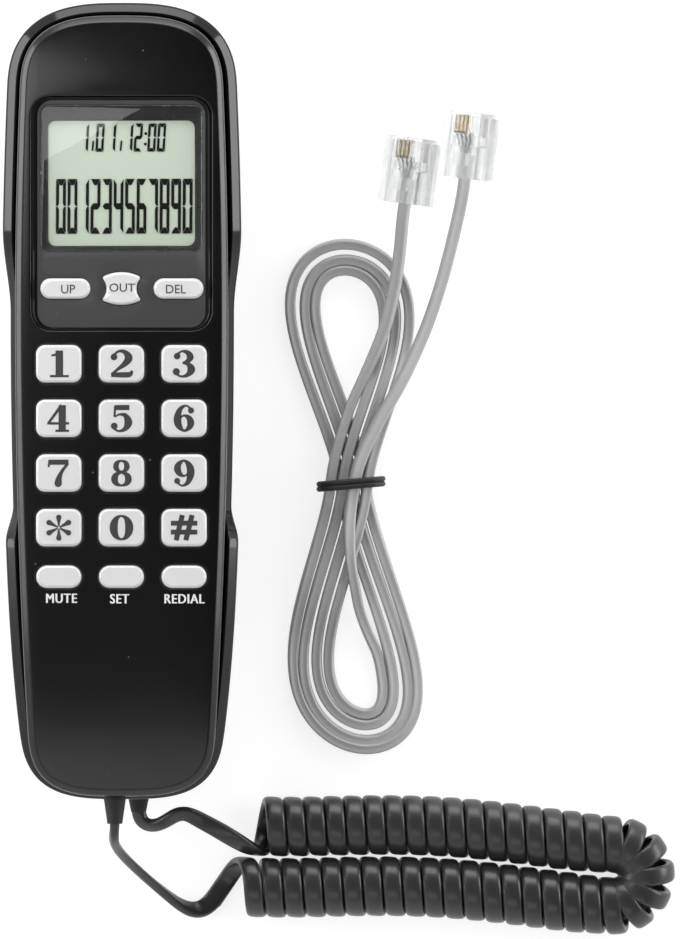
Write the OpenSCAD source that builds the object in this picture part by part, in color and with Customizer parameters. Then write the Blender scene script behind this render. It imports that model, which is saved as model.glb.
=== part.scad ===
// Slim corded telephone: a keypad handset that lies in a desk or wall cradle,
// a curly cord between the two, and a loose line cord tied in a hank.
// Millimetres. The phone lies on its back: +X right, +Y to its upper end, +Z out of its face.

/* [Handset] */
// Length of the handset
handset_len = 155.9; // [150:0.1:165]
// Width at the start of the rounded upper end
handset_w_top = 40.6; // [39:0.1:43]
// Greatest width of the handset
handset_w_mid = 42.5; // [41:0.1:46]
// Width at the start of the rounded lower end
handset_w_low = 37.6; // [36:0.1:41]
// Height of the front shell above the parting line
front_h = 13; // [12:0.1:16]
// Height of the rounded edge of the face
bevel_h = 2.6; // [1:0.1:4]
// Width of the rounded edge of the face
bevel_w = 1.3; // [0.6:0.1:2]
// Fall of the face at its lower end
nose_drop = 5; // [2:0.1:6]
// Wall thickness of the face
face_t = 2.2; // [1.9:0.1:2.6]
// Wall thickness of the handset's sides
side_t = 1.8; // [1.2:0.1:2.4]
// Wall thickness of the back shell's floor
back_t = 2; // [1.4:0.1:2.6]
// Height of the arch under the grip
arch_h = 7; // [5:0.1:9]

/* [Cradle] */
// Width of the cradle's rim
rim_w = 2.6; // [2.2:0.1:4]
// How far the lower end of the cradle tucks in under the handset
tuck = 2.1; // [1:0.1:3]
// Gap between the handset and the cradle's wall
cradle_gap = 0.5; // [0.3:0.05:0.8]
// Lean of the walls, degrees
lean = 9; // [5:0.5:11]
// Height of the rubber feet below the cradle
foot_h = 0.8; // [0.5:0.1:1.5]
// Thickness of the base plate
plate_t = 2; // [1.8:0.1:2.4]
// Room between the base plate and the wells
room_h = 8.2; // [8:0.1:10]
// Thickness of the cradle's floor
floor_t = 2; // [1.6:0.1:2.6]
// Wall thickness of the cradle under the wells
wall_t = 2; // [1.4:0.1:2.6]
// Rise of the saddle between the two wells
saddle_h = 4; // [3:0.1:5]
// Height of the lip beside the saddle
lip_h = 2; // [1.8:0.1:3]
// Depth of the wells below the high rim
well_d = 12; // [10:0.1:14]
// Length of the finger recess along the bottom of its dip
recess_len = 38.6; // [30:0.1:44]
// Length of the recess's upper ramp
ramp_up = 16.8; // [12:0.1:20]
// Length of the recess's lower ramp
ramp_down = 7.4; // [5:0.1:12]
// Distance between the two wall keyholes
keyhole_pitch = 60; // [50:0.5:70]
// Radius of a keyhole's head opening
keyhole_r = 4.2; // [3.5:0.1:5]
// Half width of a keyhole's slot
keyslot_r = 2.1; // [1.5:0.1:2.3]

/* [Keys] */
// Width of a dialling key
key_w = 9.1; // [8:0.1:9.6]
// Height of a dialling key
key_h = 7.5; // [6.5:0.1:8.2]
// Spacing of the dialling keys across
key_pitch_x = 12.5; // [11.8:0.1:13]
// Spacing of the dialling keys along
key_pitch_y = 10.9; // [10.3:0.1:11.4]
// Rise of a dialling key above the face
key_rise = 1.2; // [0.9:0.1:2]
// Travel of a key
key_travel = 0.8; // [0.4:0.1:0.8]
// Gap round a key in its hole
key_fit = 0.2; // [0.15:0.05:0.3]
// Width of a long key under the dialling keys
long_w = 9; // [8:0.1:9.6]
// Height of a long key under the dialling keys
long_h = 4.5; // [3.5:0.1:5]
// Width of the outer keys under the display
side_key_w = 10; // [8:0.1:10.2]
// Height of the outer keys under the display
side_key_h = 4.1; // [3.5:0.1:5]
// Width of the middle key under the display
mid_key_w = 8.6; // [7.5:0.1:8.8]
// Height of the middle key under the display
mid_key_h = 6.6; // [5:0.1:7]

/* [Display] */
// Width of the bezel insert
bezel_w = 36; // [34.6:0.1:37]
// Height of the bezel insert
bezel_h = 46.8; // [46:0.1:48.4]
// Thickness of the bezel insert
bezel_t = 0.9; // [0.7:0.1:1.1]
// Depth of the bezel's seat in the face
bezel_seat = 1.4; // [1.2:0.1:1.6]
// Width of the lens
lens_w = 32.2; // [31:0.1:33]
// Height of the lens
lens_h = 29.2; // [28:0.1:30]
// Width of the visible display
view_w = 29.4; // [27:0.1:30]
// Height of the visible display
view_h = 25.2; // [23:0.1:26]
// Thickness of the display glass
lcd_t = 2.2; // [1.6:0.1:2.4]

/* [Curly cord] */
// Width of the flat cord in the curls
curl_cord_w = 3.6; // [2.8:0.1:3.7]
// Thickness of the flat cord in the curls
curl_cord_t = 1.8; // [1.4:0.1:2]
// Outer diameter of the curls
curl_od = 11.8; // [10.4:0.1:11.8]
// Spacing of the curls in the two straight legs
curl_pitch = 4; // [4:0.1:4.2]
// Curls in the leg that starts at the cradle
curls_far = 18; // [16:1:18]
// Curls in the U-turn
curls_turn = 2; // [1:1:2]
// Curls in the leg that ends at the handset
curls_near = 18; // [16:1:18]

/* [Line cord] */
// Width of the flat line cord
line_w = 2.7; // [2:0.1:3]
// Thickness of the flat line cord
line_t = 1.7; // [1.4:0.1:2]
// Loops of the hank
hank_loops = 3; // [2:1:4]
// Length of the hank's upper lobe, from its waist to the middle of its loops
hank_half = 45.2; // [42:0.2:48]
// Length of the hank's lower lobe
hank_half_low = 50.2; // [46:0.2:54]
// Spread of the hank's lobes
hank_spread = 20.6; // [18:0.2:23]
// Spacing of the loops
hank_step = 2.45; // [2.4:0.05:2.6]
// Width of a modular plug
plug_w = 9.65; // [9.4:0.05:9.9]
// Height of a modular plug
plug_h = 6.6; // [6.2:0.05:7]
// Length of a modular plug
plug_len = 13.4; // [11.5:0.1:14]
// Roll of the loose plugs where they lie, degrees
plug_roll = 38; // [30:1:45]

/* [Hidden] */
$fn = 48;
eps = 0.01;

// Heights of the stack, from the table up
plate_z = foot_h + plate_t;
well_z = plate_z + room_h + floor_t;
saddle_z = well_z + saddle_h;
lip_z = saddle_z + lip_h;
rim_z = well_z + well_d;
seat_gap = 0.5;
back_z = well_z + seat_gap;
grip_z = back_z + arch_h;
parting_z = rim_z + 2;
face_z = parting_z + front_h;
inner_face_z = face_z - face_t;

// The handset's outline: two parabolas along the sides, superellipse ends
half_len = handset_len / 2;
top_cap = 15;
low_cap = 14;
top_power = 2.9;
low_power = 3.2;
mid_v = 18;
handset_y = (cradle_gap + rim_w - tuck - cradle_gap - rim_w) / 2;
recess_v = -0.45;
recess_hi = recess_v + recess_len / 2;
recess_lo = recess_v - recess_len / 2;
cap_steps = 7;

function sq(a) = a * a;
function smooth(t) = let(c = min(1, max(0, t))) c * c * (3 - 2 * c);
function unit(v) = v / norm(v);
function steps(a, b, n) = [for (j = [1 : n]) a + (b - a) * j / n];
function half_w(v) = v > mid_v
    ? handset_w_mid / 2 - (handset_w_mid - handset_w_top) / 2 * sq((v - mid_v) / (half_len - top_cap - mid_v))
    : handset_w_mid / 2
        - (handset_w_mid - handset_w_low) / 2 * sq((mid_v - v) / (half_len - low_cap + mid_v));
function low_end(a) = let(v = -half_len + low_cap - low_cap * pow(sin(a), 2 / low_power))
    [half_w(v) * pow(cos(a), 2 / low_power), v];
function top_end(a) = let(v = half_len - top_cap + top_cap * pow(sin(a), 2 / top_power))
    [half_w(v) * pow(cos(a), 2 / top_power), v];
side_v = concat(steps(-half_len + low_cap, recess_lo - ramp_down, 4),
    steps(recess_lo - ramp_down, recess_lo, 3),
    steps(recess_lo, recess_hi, 4), steps(recess_hi, recess_hi + ramp_up, 4),
    steps(recess_hi + ramp_up, half_len - top_cap, 3));
right_side = concat([for (a = [0 : cap_steps]) low_end(90 - 90 * a / cap_steps)],
    [for (v = side_v) [half_w(v), v]], [for (a = [1 : cap_steps]) top_end(90 * a / cap_steps)]);
last = len(right_side) - 1;
ring_n = 2 * last;
OUTLINE = concat(right_side, [for (i = [last - 1 : -1 : 1]) [-right_side[i][0], right_side[i][1]]]);
NORMALS = [for (i = [0 : ring_n - 1])
    let(d = OUTLINE[(i + 1) % ring_n] - OUTLINE[(i + ring_n - 1) % ring_n]) unit([d[1], -d[0]])];

// How far the finger recess has dipped at a station: 0 outside it, 1 along its bottom
function dip(v) = v > recess_hi ? 1 - smooth((v - recess_hi) / ramp_up)
    : v < recess_lo ? 1 - smooth((recess_lo - v) / ramp_down) : 1;
function rim_at(v) = rim_z - (rim_z - lip_z) * dip(v);
function floor_at(v) = well_z + saddle_h * dip(v);
function under_at(v) = back_z + arch_h * dip(v);
tuck_v = -20;
function tuck_at(v) = v > tuck_v ? 0 : -tuck * pow((tuck_v - v) / (half_len + tuck_v), 3);
flat_lo = -42;
flat_hi = 62;
brow_drop = 1.5;
function face_at(v) = v < flat_lo ? face_z - nose_drop * sq((flat_lo - v) / (half_len + flat_lo))
    : v > flat_hi ? face_z - brow_drop * sq((v - flat_hi) / (half_len - flat_hi)) : face_z;
function leaned(v, z) = tuck_at(v) - tan(lean) * (rim_z - z);
recess_thin = 0.7;
function wall_at(v) = rim_w - recess_thin * dip(v);

// A point of the outline, moved out by d, at height z
function at(i, d, z) = let(p = OUTLINE[i] + NORMALS[i] * d) [p[0], p[1] + handset_y, z];
function v_of(i) = OUTLINE[i][1];

// Skin over a stack of outline loops, closed with rungs across the first and the last
module skin(loops) {
    rows = len(loops);
    points = [for (loop = loops) each loop];
    top = (rows - 1) * ring_n;
    sides = [for (k = [0 : rows - 2], i = [0 : ring_n - 1])
        let(a = k * ring_n + i, b = k * ring_n + (i + 1) % ring_n)
        each [[a, a + ring_n, b + ring_n], [a, b + ring_n, b]]];
    rungs = concat([[0, 1, ring_n - 1]],
        [for (i = [1 : last - 2]) each [[i, i + 1, ring_n - i - 1], [i, ring_n - i - 1, ring_n - i]]],
        [[last - 1, last, last + 1]]);
    lid = [for (f = rungs) [top + f[2], top + f[1], top + f[0]]];
    polyhedron(points, concat(sides, rungs, lid), convexity = 10);
}
function loop_of(fn) = [for (i = [0 : ring_n - 1]) fn(i)];

// Rounded rectangle, and a prism on it
module round_rect(w, h, r) {
    square([w - 2 * r, h], center = true);
    square([w, h - 2 * r], center = true);
    for (x = [-1, 1], y = [-1, 1])
        translate([x * (w / 2 - r), y * (h / 2 - r)]) circle(r);
}
module slab(w, h, r, z0, z1) {
    translate([0, 0, z0]) linear_extrude(z1 - z0) round_rect(w, h, r);
}

// Cradle
rim_fall = 2.6;
base_edge = 0.6;
function outer_off(v, z) = cradle_gap + wall_at(v) + leaned(v, z);
function pocket_off(v, z) = cradle_gap + leaned(v, z);
base_screw_in = 20.95;
base_screw_side = 8.3;
base_screw_at = [for (x = [-1, 1], y = [-1, 1])
    [x * (min(handset_w_top, handset_w_low + 3) / 2 - base_screw_side), y * (half_len - base_screw_in)]];
base_boss_r = 2.8;
base_screw_r = 1.1;
screw_play = 0.05;
plunger_at = [0, -4];
plunger_r = 3;
run_fit = 0.06;
jack_w = 12;
jack_len = 14;
jack_h = room_h - 0.2;
jack_z = plate_z + 0.1;
jack_y = handset_y + half_len - 0.3;
jack_play = 0.15;
base_gland_at = [3.2, 7.2];
gland_r = 2.2;
collar_r = 2.8;
gland_play = 0.05;
handset_gland_at = [-1.4, parting_z + collar_r + 0.2];

module base_tub() {
    skin([
        loop_of(function(i) at(i, outer_off(v_of(i), foot_h) - base_edge, foot_h)),
        loop_of(function(i) at(i, outer_off(v_of(i), foot_h + base_edge), foot_h + base_edge)),
        loop_of(function(i) at(i, outer_off(v_of(i), well_z), well_z)),
        loop_of(function(i) let(z = rim_at(v_of(i)) - rim_fall) at(i, outer_off(v_of(i), z), z)),
        loop_of(function(i) let(z = rim_at(v_of(i)) - 0.58 * rim_fall)
            at(i, outer_off(v_of(i), z) - 0.13 * wall_at(v_of(i)), z)),
        loop_of(function(i) let(z = rim_at(v_of(i)) - 0.29 * rim_fall)
            at(i, outer_off(v_of(i), z) - 0.42 * wall_at(v_of(i)), z)),
        loop_of(function(i) let(z = rim_at(v_of(i)))
            at(i, outer_off(v_of(i), z) - 0.8 * wall_at(v_of(i)), z)),
        loop_of(function(i) let(z = rim_at(v_of(i)) - 0.3) at(i, pocket_off(v_of(i), z), z)),
        loop_of(function(i) let(z = floor_at(v_of(i)) + 1) at(i, pocket_off(v_of(i), z), z)),
        loop_of(function(i) let(z = floor_at(v_of(i))) at(i, pocket_off(v_of(i), z) - 1, z))
    ]);
}
module base_room() {
    skin([
        loop_of(function(i) at(i, outer_off(v_of(i), 0) - wall_t, foot_h - 1)),
        loop_of(function(i) let(z = floor_at(v_of(i)) - floor_t)
            at(i, outer_off(v_of(i), z) - wall_t - 0.6, z))
    ]);
}
module base_cradle() {
    color([0.06, 0.06, 0.065]) difference() {
        union() {
            difference() {
                base_tub();
                base_room();
            }
            for (p = base_screw_at)
                translate([p[0], p[1], plate_z])
                    cylinder(r = base_boss_r, h = well_z - floor_t / 2 - plate_z);
            translate([plunger_at[0], plunger_at[1], saddle_z - floor_t - 1.5])
                cylinder(r = plunger_r + 1.6, h = 2);
        }
        for (p = base_screw_at)
            translate([p[0], p[1], plate_z - eps]) cylinder(r = base_screw_r, h = base_screw_len);
        translate([plunger_at[0], plunger_at[1], plate_z]) cylinder(r = plunger_r + run_fit, h = 30);
        translate([-jack_w / 2 - jack_play, jack_y - 6, jack_z - jack_play])
            cube([jack_w + 2 * jack_play, 12, jack_h + 2 * jack_play]);
        translate([base_gland_at[0], -half_len, base_gland_at[1]])
            rotate([90, 0, 0]) cylinder(r = gland_r + gland_play, h = 20, center = true);
    }
}

// Base plate: drops in from below and is held by four screws
plate_play = 0.2;
head_r = 2.2;
head_h = 1.2;
base_screw_len = 5.4;
foot_r = 3.5;
foot_sink = 0.8;
foot_in = 9.95;
foot_side = 9.3;
feet_at = [for (x = [-1, 1], y = [-1, 1])
    [x * (min(handset_w_top, handset_w_low + 3) / 2 - foot_side), y * (half_len - foot_in)]];
function plate_loop() = [for (i = [0 : ring_n - 1])
    let(p = at(i, outer_off(v_of(i), 0) - wall_t - plate_play, 0)) [p[0], p[1]]];
module base_plate() {
    color([0.09, 0.09, 0.095]) difference() {
        translate([0, 0, foot_h]) linear_extrude(plate_t) polygon(plate_loop());
        for (p = base_screw_at) {
            translate([p[0], p[1], 0]) cylinder(r = base_screw_r + screw_play, h = 10);
            translate([p[0], p[1], 0]) cylinder(r = head_r + screw_play, h = foot_h + head_h);
        }
        for (p = feet_at)
            translate([p[0], p[1], 0]) cylinder(r = foot_r, h = foot_h + foot_sink);
        for (y = [-1, 1])
            translate([0, y * keyhole_pitch / 2, 0]) {
                cylinder(r = keyhole_r, h = 10);
                translate([0, keyhole_r + 2, 0]) cylinder(r = keyslot_r, h = 10);
                translate([-keyslot_r, 0, 0]) cube([2 * keyslot_r, keyhole_r + 2, 10]);
            }
    }
}
module base_screws() {
    color([0.6, 0.6, 0.62])
        for (p = base_screw_at)
            translate([p[0], p[1], foot_h]) {
                cylinder(r = head_r, h = head_h);
                cylinder(r = base_screw_r - screw_play, h = base_screw_len);
            }
}
module rubber_feet() {
    color([0.12, 0.12, 0.12])
        for (p = feet_at)
            translate([p[0], p[1], 0]) {
                cylinder(r1 = foot_r - 0.5, r2 = foot_r - 0.1, h = foot_h);
                translate([0, 0, foot_h]) cylinder(r = foot_r - 0.1, h = foot_sink);
            }
}

// Line jack: a six-way modular socket in the upper end wall
socket_w = plug_w + 0.2;
socket_h = plug_h + 0.2;
socket_z = jack_z + jack_h - socket_h - 0.5;
contact_pitch = 1.02;
contact_x = [for (k = [-1.5, -0.5, 0.5, 1.5]) k * contact_pitch];
wire_r = 0.22;
module line_jack() {
    color([0.1, 0.1, 0.11]) difference() {
        translate([-jack_w / 2, jack_y - jack_len, jack_z]) cube([jack_w, jack_len, jack_h]);
        translate([-socket_w / 2, jack_y - jack_len + 2, socket_z]) cube([socket_w, jack_len, socket_h]);
        translate([-3.2, jack_y - 6, jack_z - 1]) cube([6.4, 10, socket_z - jack_z + 2]);
    }
}
module jack_contacts() {
    color([0.85, 0.68, 0.3])
        for (x = contact_x)
            translate([x, jack_y - 3, socket_z + socket_h - wire_r - 0.02])
                rotate([110, 0, 0]) cylinder(r = wire_r, h = 5, $fn = 24);
}

// Hook board, switch, spring and plunger
board_z = plate_z + 1.5;
board_t = 1.6;
post_r = 1.5;
hook_board_w = 26;
hook_board_h = 18;
post_in = 3;
plunger_top = grip_z - 0.1;
hook_travel = 3;
plunger_flange_r = plunger_r + 1.3;
plunger_flange_t = 1;
plunger_flange_z = saddle_z - floor_t - 1.5 - hook_travel - 0.1 - plunger_flange_t;
module base_board() {
    color([0.1, 0.35, 0.18]) {
        translate([plunger_at[0] - hook_board_w / 2, plunger_at[1] - hook_board_h / 2, board_z])
            cube([hook_board_w, hook_board_h, board_t]);
        for (x = [-1, 1], y = [-1, 1])
            translate([plunger_at[0] + x * (hook_board_w / 2 - post_in),
                plunger_at[1] + y * (hook_board_h / 2 - post_in), plate_z])
                cylinder(r = post_r, h = board_z - plate_z + eps);
    }
}
module hook_switch() {
    color([0.15, 0.15, 0.17])
        translate([plunger_at[0] + plunger_flange_r + 0.4, plunger_at[1] - 3, board_z + board_t]) {
            cube([5, 6, 4.6]);
            translate([1.2, 2, 4.6]) cube([2.6, 2, 0.6]);
        }
}
module hook_plunger() {
    color([0.08, 0.08, 0.085]) translate([plunger_at[0], plunger_at[1], 0]) {
        translate([0, 0, plunger_flange_z]) cylinder(r = plunger_flange_r, h = plunger_flange_t);
        translate([0, 0, plunger_flange_z]) cylinder(r = plunger_r, h = plunger_top - 1 - plunger_flange_z);
        translate([0, 0, plunger_top - 1]) cylinder(r1 = plunger_r, r2 = plunger_r - 1, h = 1);
        translate([0, 0, plunger_flange_z - 2]) cylinder(r = post_r, h = 2 + eps);
    }
}
spring_r = 2.6;
spring_wire = 0.5;
spring_turns = 3;
module hook_spring() {
    z0 = board_z + board_t + 0.6 * spring_wire;
    z1 = plunger_flange_z - 0.6 * spring_wire;
    path = [for (k = [0 : spring_turns * 12])
        [plunger_at[0] + spring_r * cos(30 * k), plunger_at[1] + spring_r * sin(30 * k),
            z0 + (z1 - z0) * k / (spring_turns * 12)]];
    color([0.75, 0.75, 0.78]) tube(path, spring_wire, spring_wire, 6);
}

// Tapered strain reliefs, each with a collar inside its wall
module gland(len_in, len_out, tip_r) {
    rotate([90, 0, 0]) rotate_extrude()
        polygon([[0, -len_in - 1], [collar_r, -len_in - 1], [collar_r, -len_in],
            [gland_r, -len_in], [gland_r, 0.6], [tip_r, len_out], [0, len_out]]);
}
base_gland_y = -half_len + handset_y + 0.6;
gland_tip_r = 1.5;
base_gland_out = 4;
handset_gland_y = -half_len + handset_y;
handset_gland_out = 5.5;
module base_cord_gland() {
    color([0.05, 0.05, 0.05]) translate([base_gland_at[0], base_gland_y, base_gland_at[1]])
        gland(4.4, base_gland_out, gland_tip_r);
}
module handset_cord_gland() {
    color([0.05, 0.05, 0.05]) translate([handset_gland_at[0], handset_gland_y, handset_gland_at[1]])
        gland(side_t + 0.05, handset_gland_out, gland_tip_r);
}

// Handset shells
handset_screw_in = [14.55, 12.95];
handset_screw_side = [8.9, 9.2];
handset_screw_at = [for (x = [-1, 1], k = [0, 1])
    [x * ((k == 0 ? handset_w_top : handset_w_low) / 2 - handset_screw_side[k]),
        (k == 0 ? 1 : -1) * (half_len - handset_screw_in[k])]];
handset_boss_r = 2.8;
handset_screw_r = 1.2;
front_bite = 5;
sink_h = 3;
rows_y = [for (k = [0 : 3]) 7.4 - k * key_pitch_y];
cols_x = [for (k = [-1 : 1]) k * key_pitch_x];
long_y = -35.1;
panel_y = 37.4;
view_y = 43.4;
lens_y = 44.4;
panel_key_y = 22.4;
panel_key_x = [-11.2, 0, 11.4];
panel_fit = 0.15;
bezel_r = 4;
lens_r = 1.6;
key_r = 1.8;
seat_z = face_z - bezel_seat;
flange_w = 0.5;
flange_out = key_fit + flange_w;
flange_t = 1;
flange_play = 0.05;
key_foot_z = inner_face_z - flange_play - flange_t;
mat_t = 1.6;
mat_z = key_foot_z - key_travel - 0.1 - mat_t;
board_under = mat_z - board_t;
board_w = 33;
board_in = 19.95;
board_len = handset_len - 2 * board_in;
module front_blank() {
    arc = [30, 60, 90];
    skin(concat([
        loop_of(function(i) at(i, 0, parting_z)),
        loop_of(function(i) at(i, 0, face_at(v_of(i)) - bevel_h))
    ], [for (a = arc)
        loop_of(function(i) at(i, -bevel_w * (1 - cos(a)), face_at(v_of(i)) - bevel_h * (1 - sin(a))))]));
}
hollow_edge = 0.4;
module front_hollow() {
    skin([
        loop_of(function(i) at(i, -side_t, parting_z - 1)),
        loop_of(function(i) at(i, -side_t, face_at(v_of(i)) - face_t - 2 * hollow_edge)),
        loop_of(function(i) at(i, -side_t - hollow_edge, face_at(v_of(i)) - face_t))
    ]);
}
module handset_front_shell() {
    color([0.045, 0.045, 0.05]) difference() {
        union() {
            difference() {
                front_blank();
                front_hollow();
            }
            for (p = handset_screw_at)
                translate([p[0], p[1], parting_z])
                    cylinder(r = handset_boss_r, h = face_at(p[1] - handset_y) - face_t + 0.8 - parting_z);
        }
        for (p = handset_screw_at)
            translate([p[0], p[1], parting_z - eps]) cylinder(r = handset_screw_r, h = front_bite + 0.5);
        translate([0, panel_y, 0]) slab(bezel_w, bezel_h, bezel_r, seat_z, face_z + 1);
        translate([0, view_y, 0]) slab(view_w + 0.6, view_h + 0.6, 1, parting_z, face_z);
        translate([0, panel_key_y, 0])
            slab(2 * max(-panel_key_x[0], panel_key_x[2]) + side_key_w + 2 * flange_out + 2 * flange_play,
                mid_key_h + 2 * flange_out + 2 * flange_play, 1, parting_z, face_z);
        for (x = cols_x) {
            for (y = rows_y)
                translate([x, y, 0])
                    slab(key_w + 2 * key_fit, key_h + 2 * key_fit, key_r + key_fit, parting_z, face_z + 1);
            translate([x, long_y, 0])
                slab(long_w + 2 * key_fit, long_h + 2 * key_fit, long_h / 2 + key_fit - eps,
                    parting_z, face_z + 1);
        }
        translate([handset_gland_at[0], handset_gland_y, handset_gland_at[1]]) rotate([90, 0, 0]) {
            cylinder(r = gland_r + gland_play, h = 12, center = true);
            translate([0, 0, -side_t - 4]) cylinder(r = collar_r + gland_play, h = 4);
        }
    }
}
module back_blank() {
    skin([
        loop_of(function(i) let(z = under_at(v_of(i))) at(i, leaned(v_of(i), z) - 5, z)),
        loop_of(function(i) let(z = under_at(v_of(i)) + 0.6) at(i, leaned(v_of(i), z) - 2.4, z)),
        loop_of(function(i) let(z = under_at(v_of(i)) + 1.6) at(i, leaned(v_of(i), z) - 0.9, z)),
        loop_of(function(i) let(z = under_at(v_of(i)) + 3.4) at(i, leaned(v_of(i), z), z)),
        loop_of(function(i) at(i, leaned(v_of(i), rim_z), rim_z)),
        loop_of(function(i) at(i, -0.15, parting_z))
    ]);
}
module back_hollow() {
    skin([
        loop_of(function(i) let(z = under_at(v_of(i)) + back_t) at(i, leaned(v_of(i), z) - 5.4, z)),
        loop_of(function(i) let(z = under_at(v_of(i)) + back_t + 1.8)
            at(i, leaned(v_of(i), z) - side_t - 0.9, z)),
        loop_of(function(i) at(i, leaned(v_of(i), rim_z) - side_t, rim_z)),
        loop_of(function(i) at(i, leaned(v_of(i), rim_z) - side_t, parting_z + 1))
    ]);
}
receiver_r = 14;
receiver_in = 29.95;
receiver_at = [0, half_len - receiver_in];
mic_r = 4.85;
mic_in = 16.55;
mic_at = [0, -half_len + mic_in];
mic_h = 6.5;
cup_wall = 1.2;
cup_play = 0.15;
cup_floor = 0.3;
module back_posts(extra) {
    for (p = handset_screw_at)
        translate([p[0], p[1], back_z + back_t / 2])
            cylinder(r = handset_boss_r, h = parting_z - back_z - back_t / 2);
    for (x = [-13, 13])
        translate([x, 0, grip_z + back_t / 2]) cylinder(r = 2, h = board_under - 0.05 - grip_z - back_t / 2);
    translate([receiver_at[0], receiver_at[1], back_z + back_t / 2])
        cylinder(r = receiver_r + cup_play + cup_wall, h = back_t / 2 + 3);
    translate([mic_at[0], mic_at[1], back_z + back_t / 2])
        cylinder(r = mic_r + cup_play + cup_wall, h = back_t / 2 + 3);
}
module handset_back_shell() {
    color([0.05, 0.05, 0.055]) difference() {
        union() {
            difference() {
                back_blank();
                back_hollow();
            }
            back_posts();
        }
        translate([receiver_at[0], receiver_at[1], back_z + back_t + cup_floor])
            cylinder(r = receiver_r + cup_play, h = 4);
        translate([mic_at[0], mic_at[1], back_z + back_t + cup_floor]) cylinder(r = mic_r + cup_play, h = 4);
        translate([receiver_at[0], receiver_at[1], back_z - 1]) {
            cylinder(r = 1, h = 5);
            for (ring = [[4, 6], [8, 12]], k = [1 : ring[1]])
                rotate(360 * k / ring[1]) translate([ring[0], 0, 0]) cylinder(r = 1, h = 5);
        }
        for (x = [-2.4, 0, 2.4])
            translate([mic_at[0] + x, mic_at[1], back_z - 1]) cylinder(r = 0.7, h = 5);
        for (p = handset_screw_at) {
            translate([p[0], p[1], back_z - 1]) cylinder(r = handset_screw_r + screw_play, h = 30);
            translate([p[0], p[1], back_z - 1]) cylinder(r = head_r + 0.3, h = 1 + sink_h + head_h);
        }
    }
}
module handset_screws() {
    color([0.6, 0.6, 0.62])
        for (p = handset_screw_at)
            translate([p[0], p[1], back_z + sink_h]) {
                cylinder(r = head_r, h = head_h);
                cylinder(r = handset_screw_r - screw_play, h = parting_z + front_bite - back_z - sink_h);
            }
}

// Keys: a cap with sloped shoulders on a flange that stays under the face
shoulder_h = 0.7;
shoulder_w = 0.6;
panel_rise = 1;
module shoulders(w, h, top) {
    intersection() {
        rotate([90, 0, 0]) linear_extrude(3 * h, center = true)
            polygon([[-w, 0], [w, 0], [w, 0.5], [w / 2, top - shoulder_h], [w / 2 - shoulder_w, top],
                [shoulder_w - w / 2, top], [-w / 2, top - shoulder_h], [-w, 0.5]]);
        rotate([90, 0, 90]) linear_extrude(3 * w, center = true)
            polygon([[-h, 0], [h, 0], [h, 0.5], [h / 2, top - shoulder_h], [h / 2 - shoulder_w, top],
                [shoulder_w - h / 2, top], [-h / 2, top - shoulder_h], [-h, 0.5]]);
    }
}
module cap_key(w, h, r) {
    slab(w + 2 * flange_out, h + 2 * flange_out, r, key_foot_z, key_foot_z + flange_t);
    intersection() {
        slab(w, h, r, key_foot_z, face_z + key_rise);
        translate([0, 0, key_foot_z]) shoulders(w, h, face_z + key_rise - key_foot_z);
    }
}
module panel_flange(w, h, r) {
    slab(w + 2 * flange_out, h + 2 * flange_out, r, key_foot_z, seat_z - flange_play);
}
module spool(w, h, grow) {
    bow = 8;
    waist_r = 3;
    difference() {
        intersection() {
            square([w + 2 * grow, h + 2 * grow], center = true);
            translate([0, bow - h / 2 - grow]) circle(bow + 2 * eps);
            translate([0, h / 2 + grow - bow]) circle(bow + 2 * eps);
        }
        for (s = [-1, 1])
            translate([s * (w / 2 + waist_r - 1.3 + grow), 0]) circle(waist_r);
    }
}
module key_color() {
    color([0.92, 0.92, 0.92]) children();
}
module dial_key(k) {
    key_color() translate([cols_x[k % 3], rows_y[floor(k / 3)], 0]) cap_key(key_w, key_h, key_r);
}
module long_key(k) {
    key_color() translate([cols_x[k], long_y, 0]) cap_key(long_w, long_h, long_h / 2 - eps);
}
module panel_key(k) {
    top = seat_z + bezel_t + panel_rise;
    key_color() translate([panel_key_x[k], panel_key_y, 0])
        if (k == 1) {
            panel_flange(mid_key_w, mid_key_h, 1);
            translate([0, 0, key_foot_z]) linear_extrude(top - key_foot_z) spool(mid_key_w, mid_key_h, 0);
        } else {
            panel_flange(side_key_w, side_key_h, side_key_h / 2);
            intersection() {
                slab(side_key_w, side_key_h, side_key_h / 2 - eps, key_foot_z, top);
                translate([0, 0, key_foot_z]) shoulders(side_key_w, side_key_h, top - key_foot_z);
            }
        }
}
module key_1() {
    dial_key(0);
}
module key_2() {
    dial_key(1);
}
module key_3() {
    dial_key(2);
}
module key_4() {
    dial_key(3);
}
module key_5() {
    dial_key(4);
}
module key_6() {
    dial_key(5);
}
module key_7() {
    dial_key(6);
}
module key_8() {
    dial_key(7);
}
module key_9() {
    dial_key(8);
}
module key_star() {
    dial_key(9);
}
module key_0() {
    dial_key(10);
}
module key_hash() {
    dial_key(11);
}
module key_mute() {
    long_key(0);
}
module key_set() {
    long_key(1);
}
module key_redial() {
    long_key(2);
}
module key_up() {
    panel_key(0);
}
module key_out() {
    panel_key(1);
}
module key_del() {
    panel_key(2);
}

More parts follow.
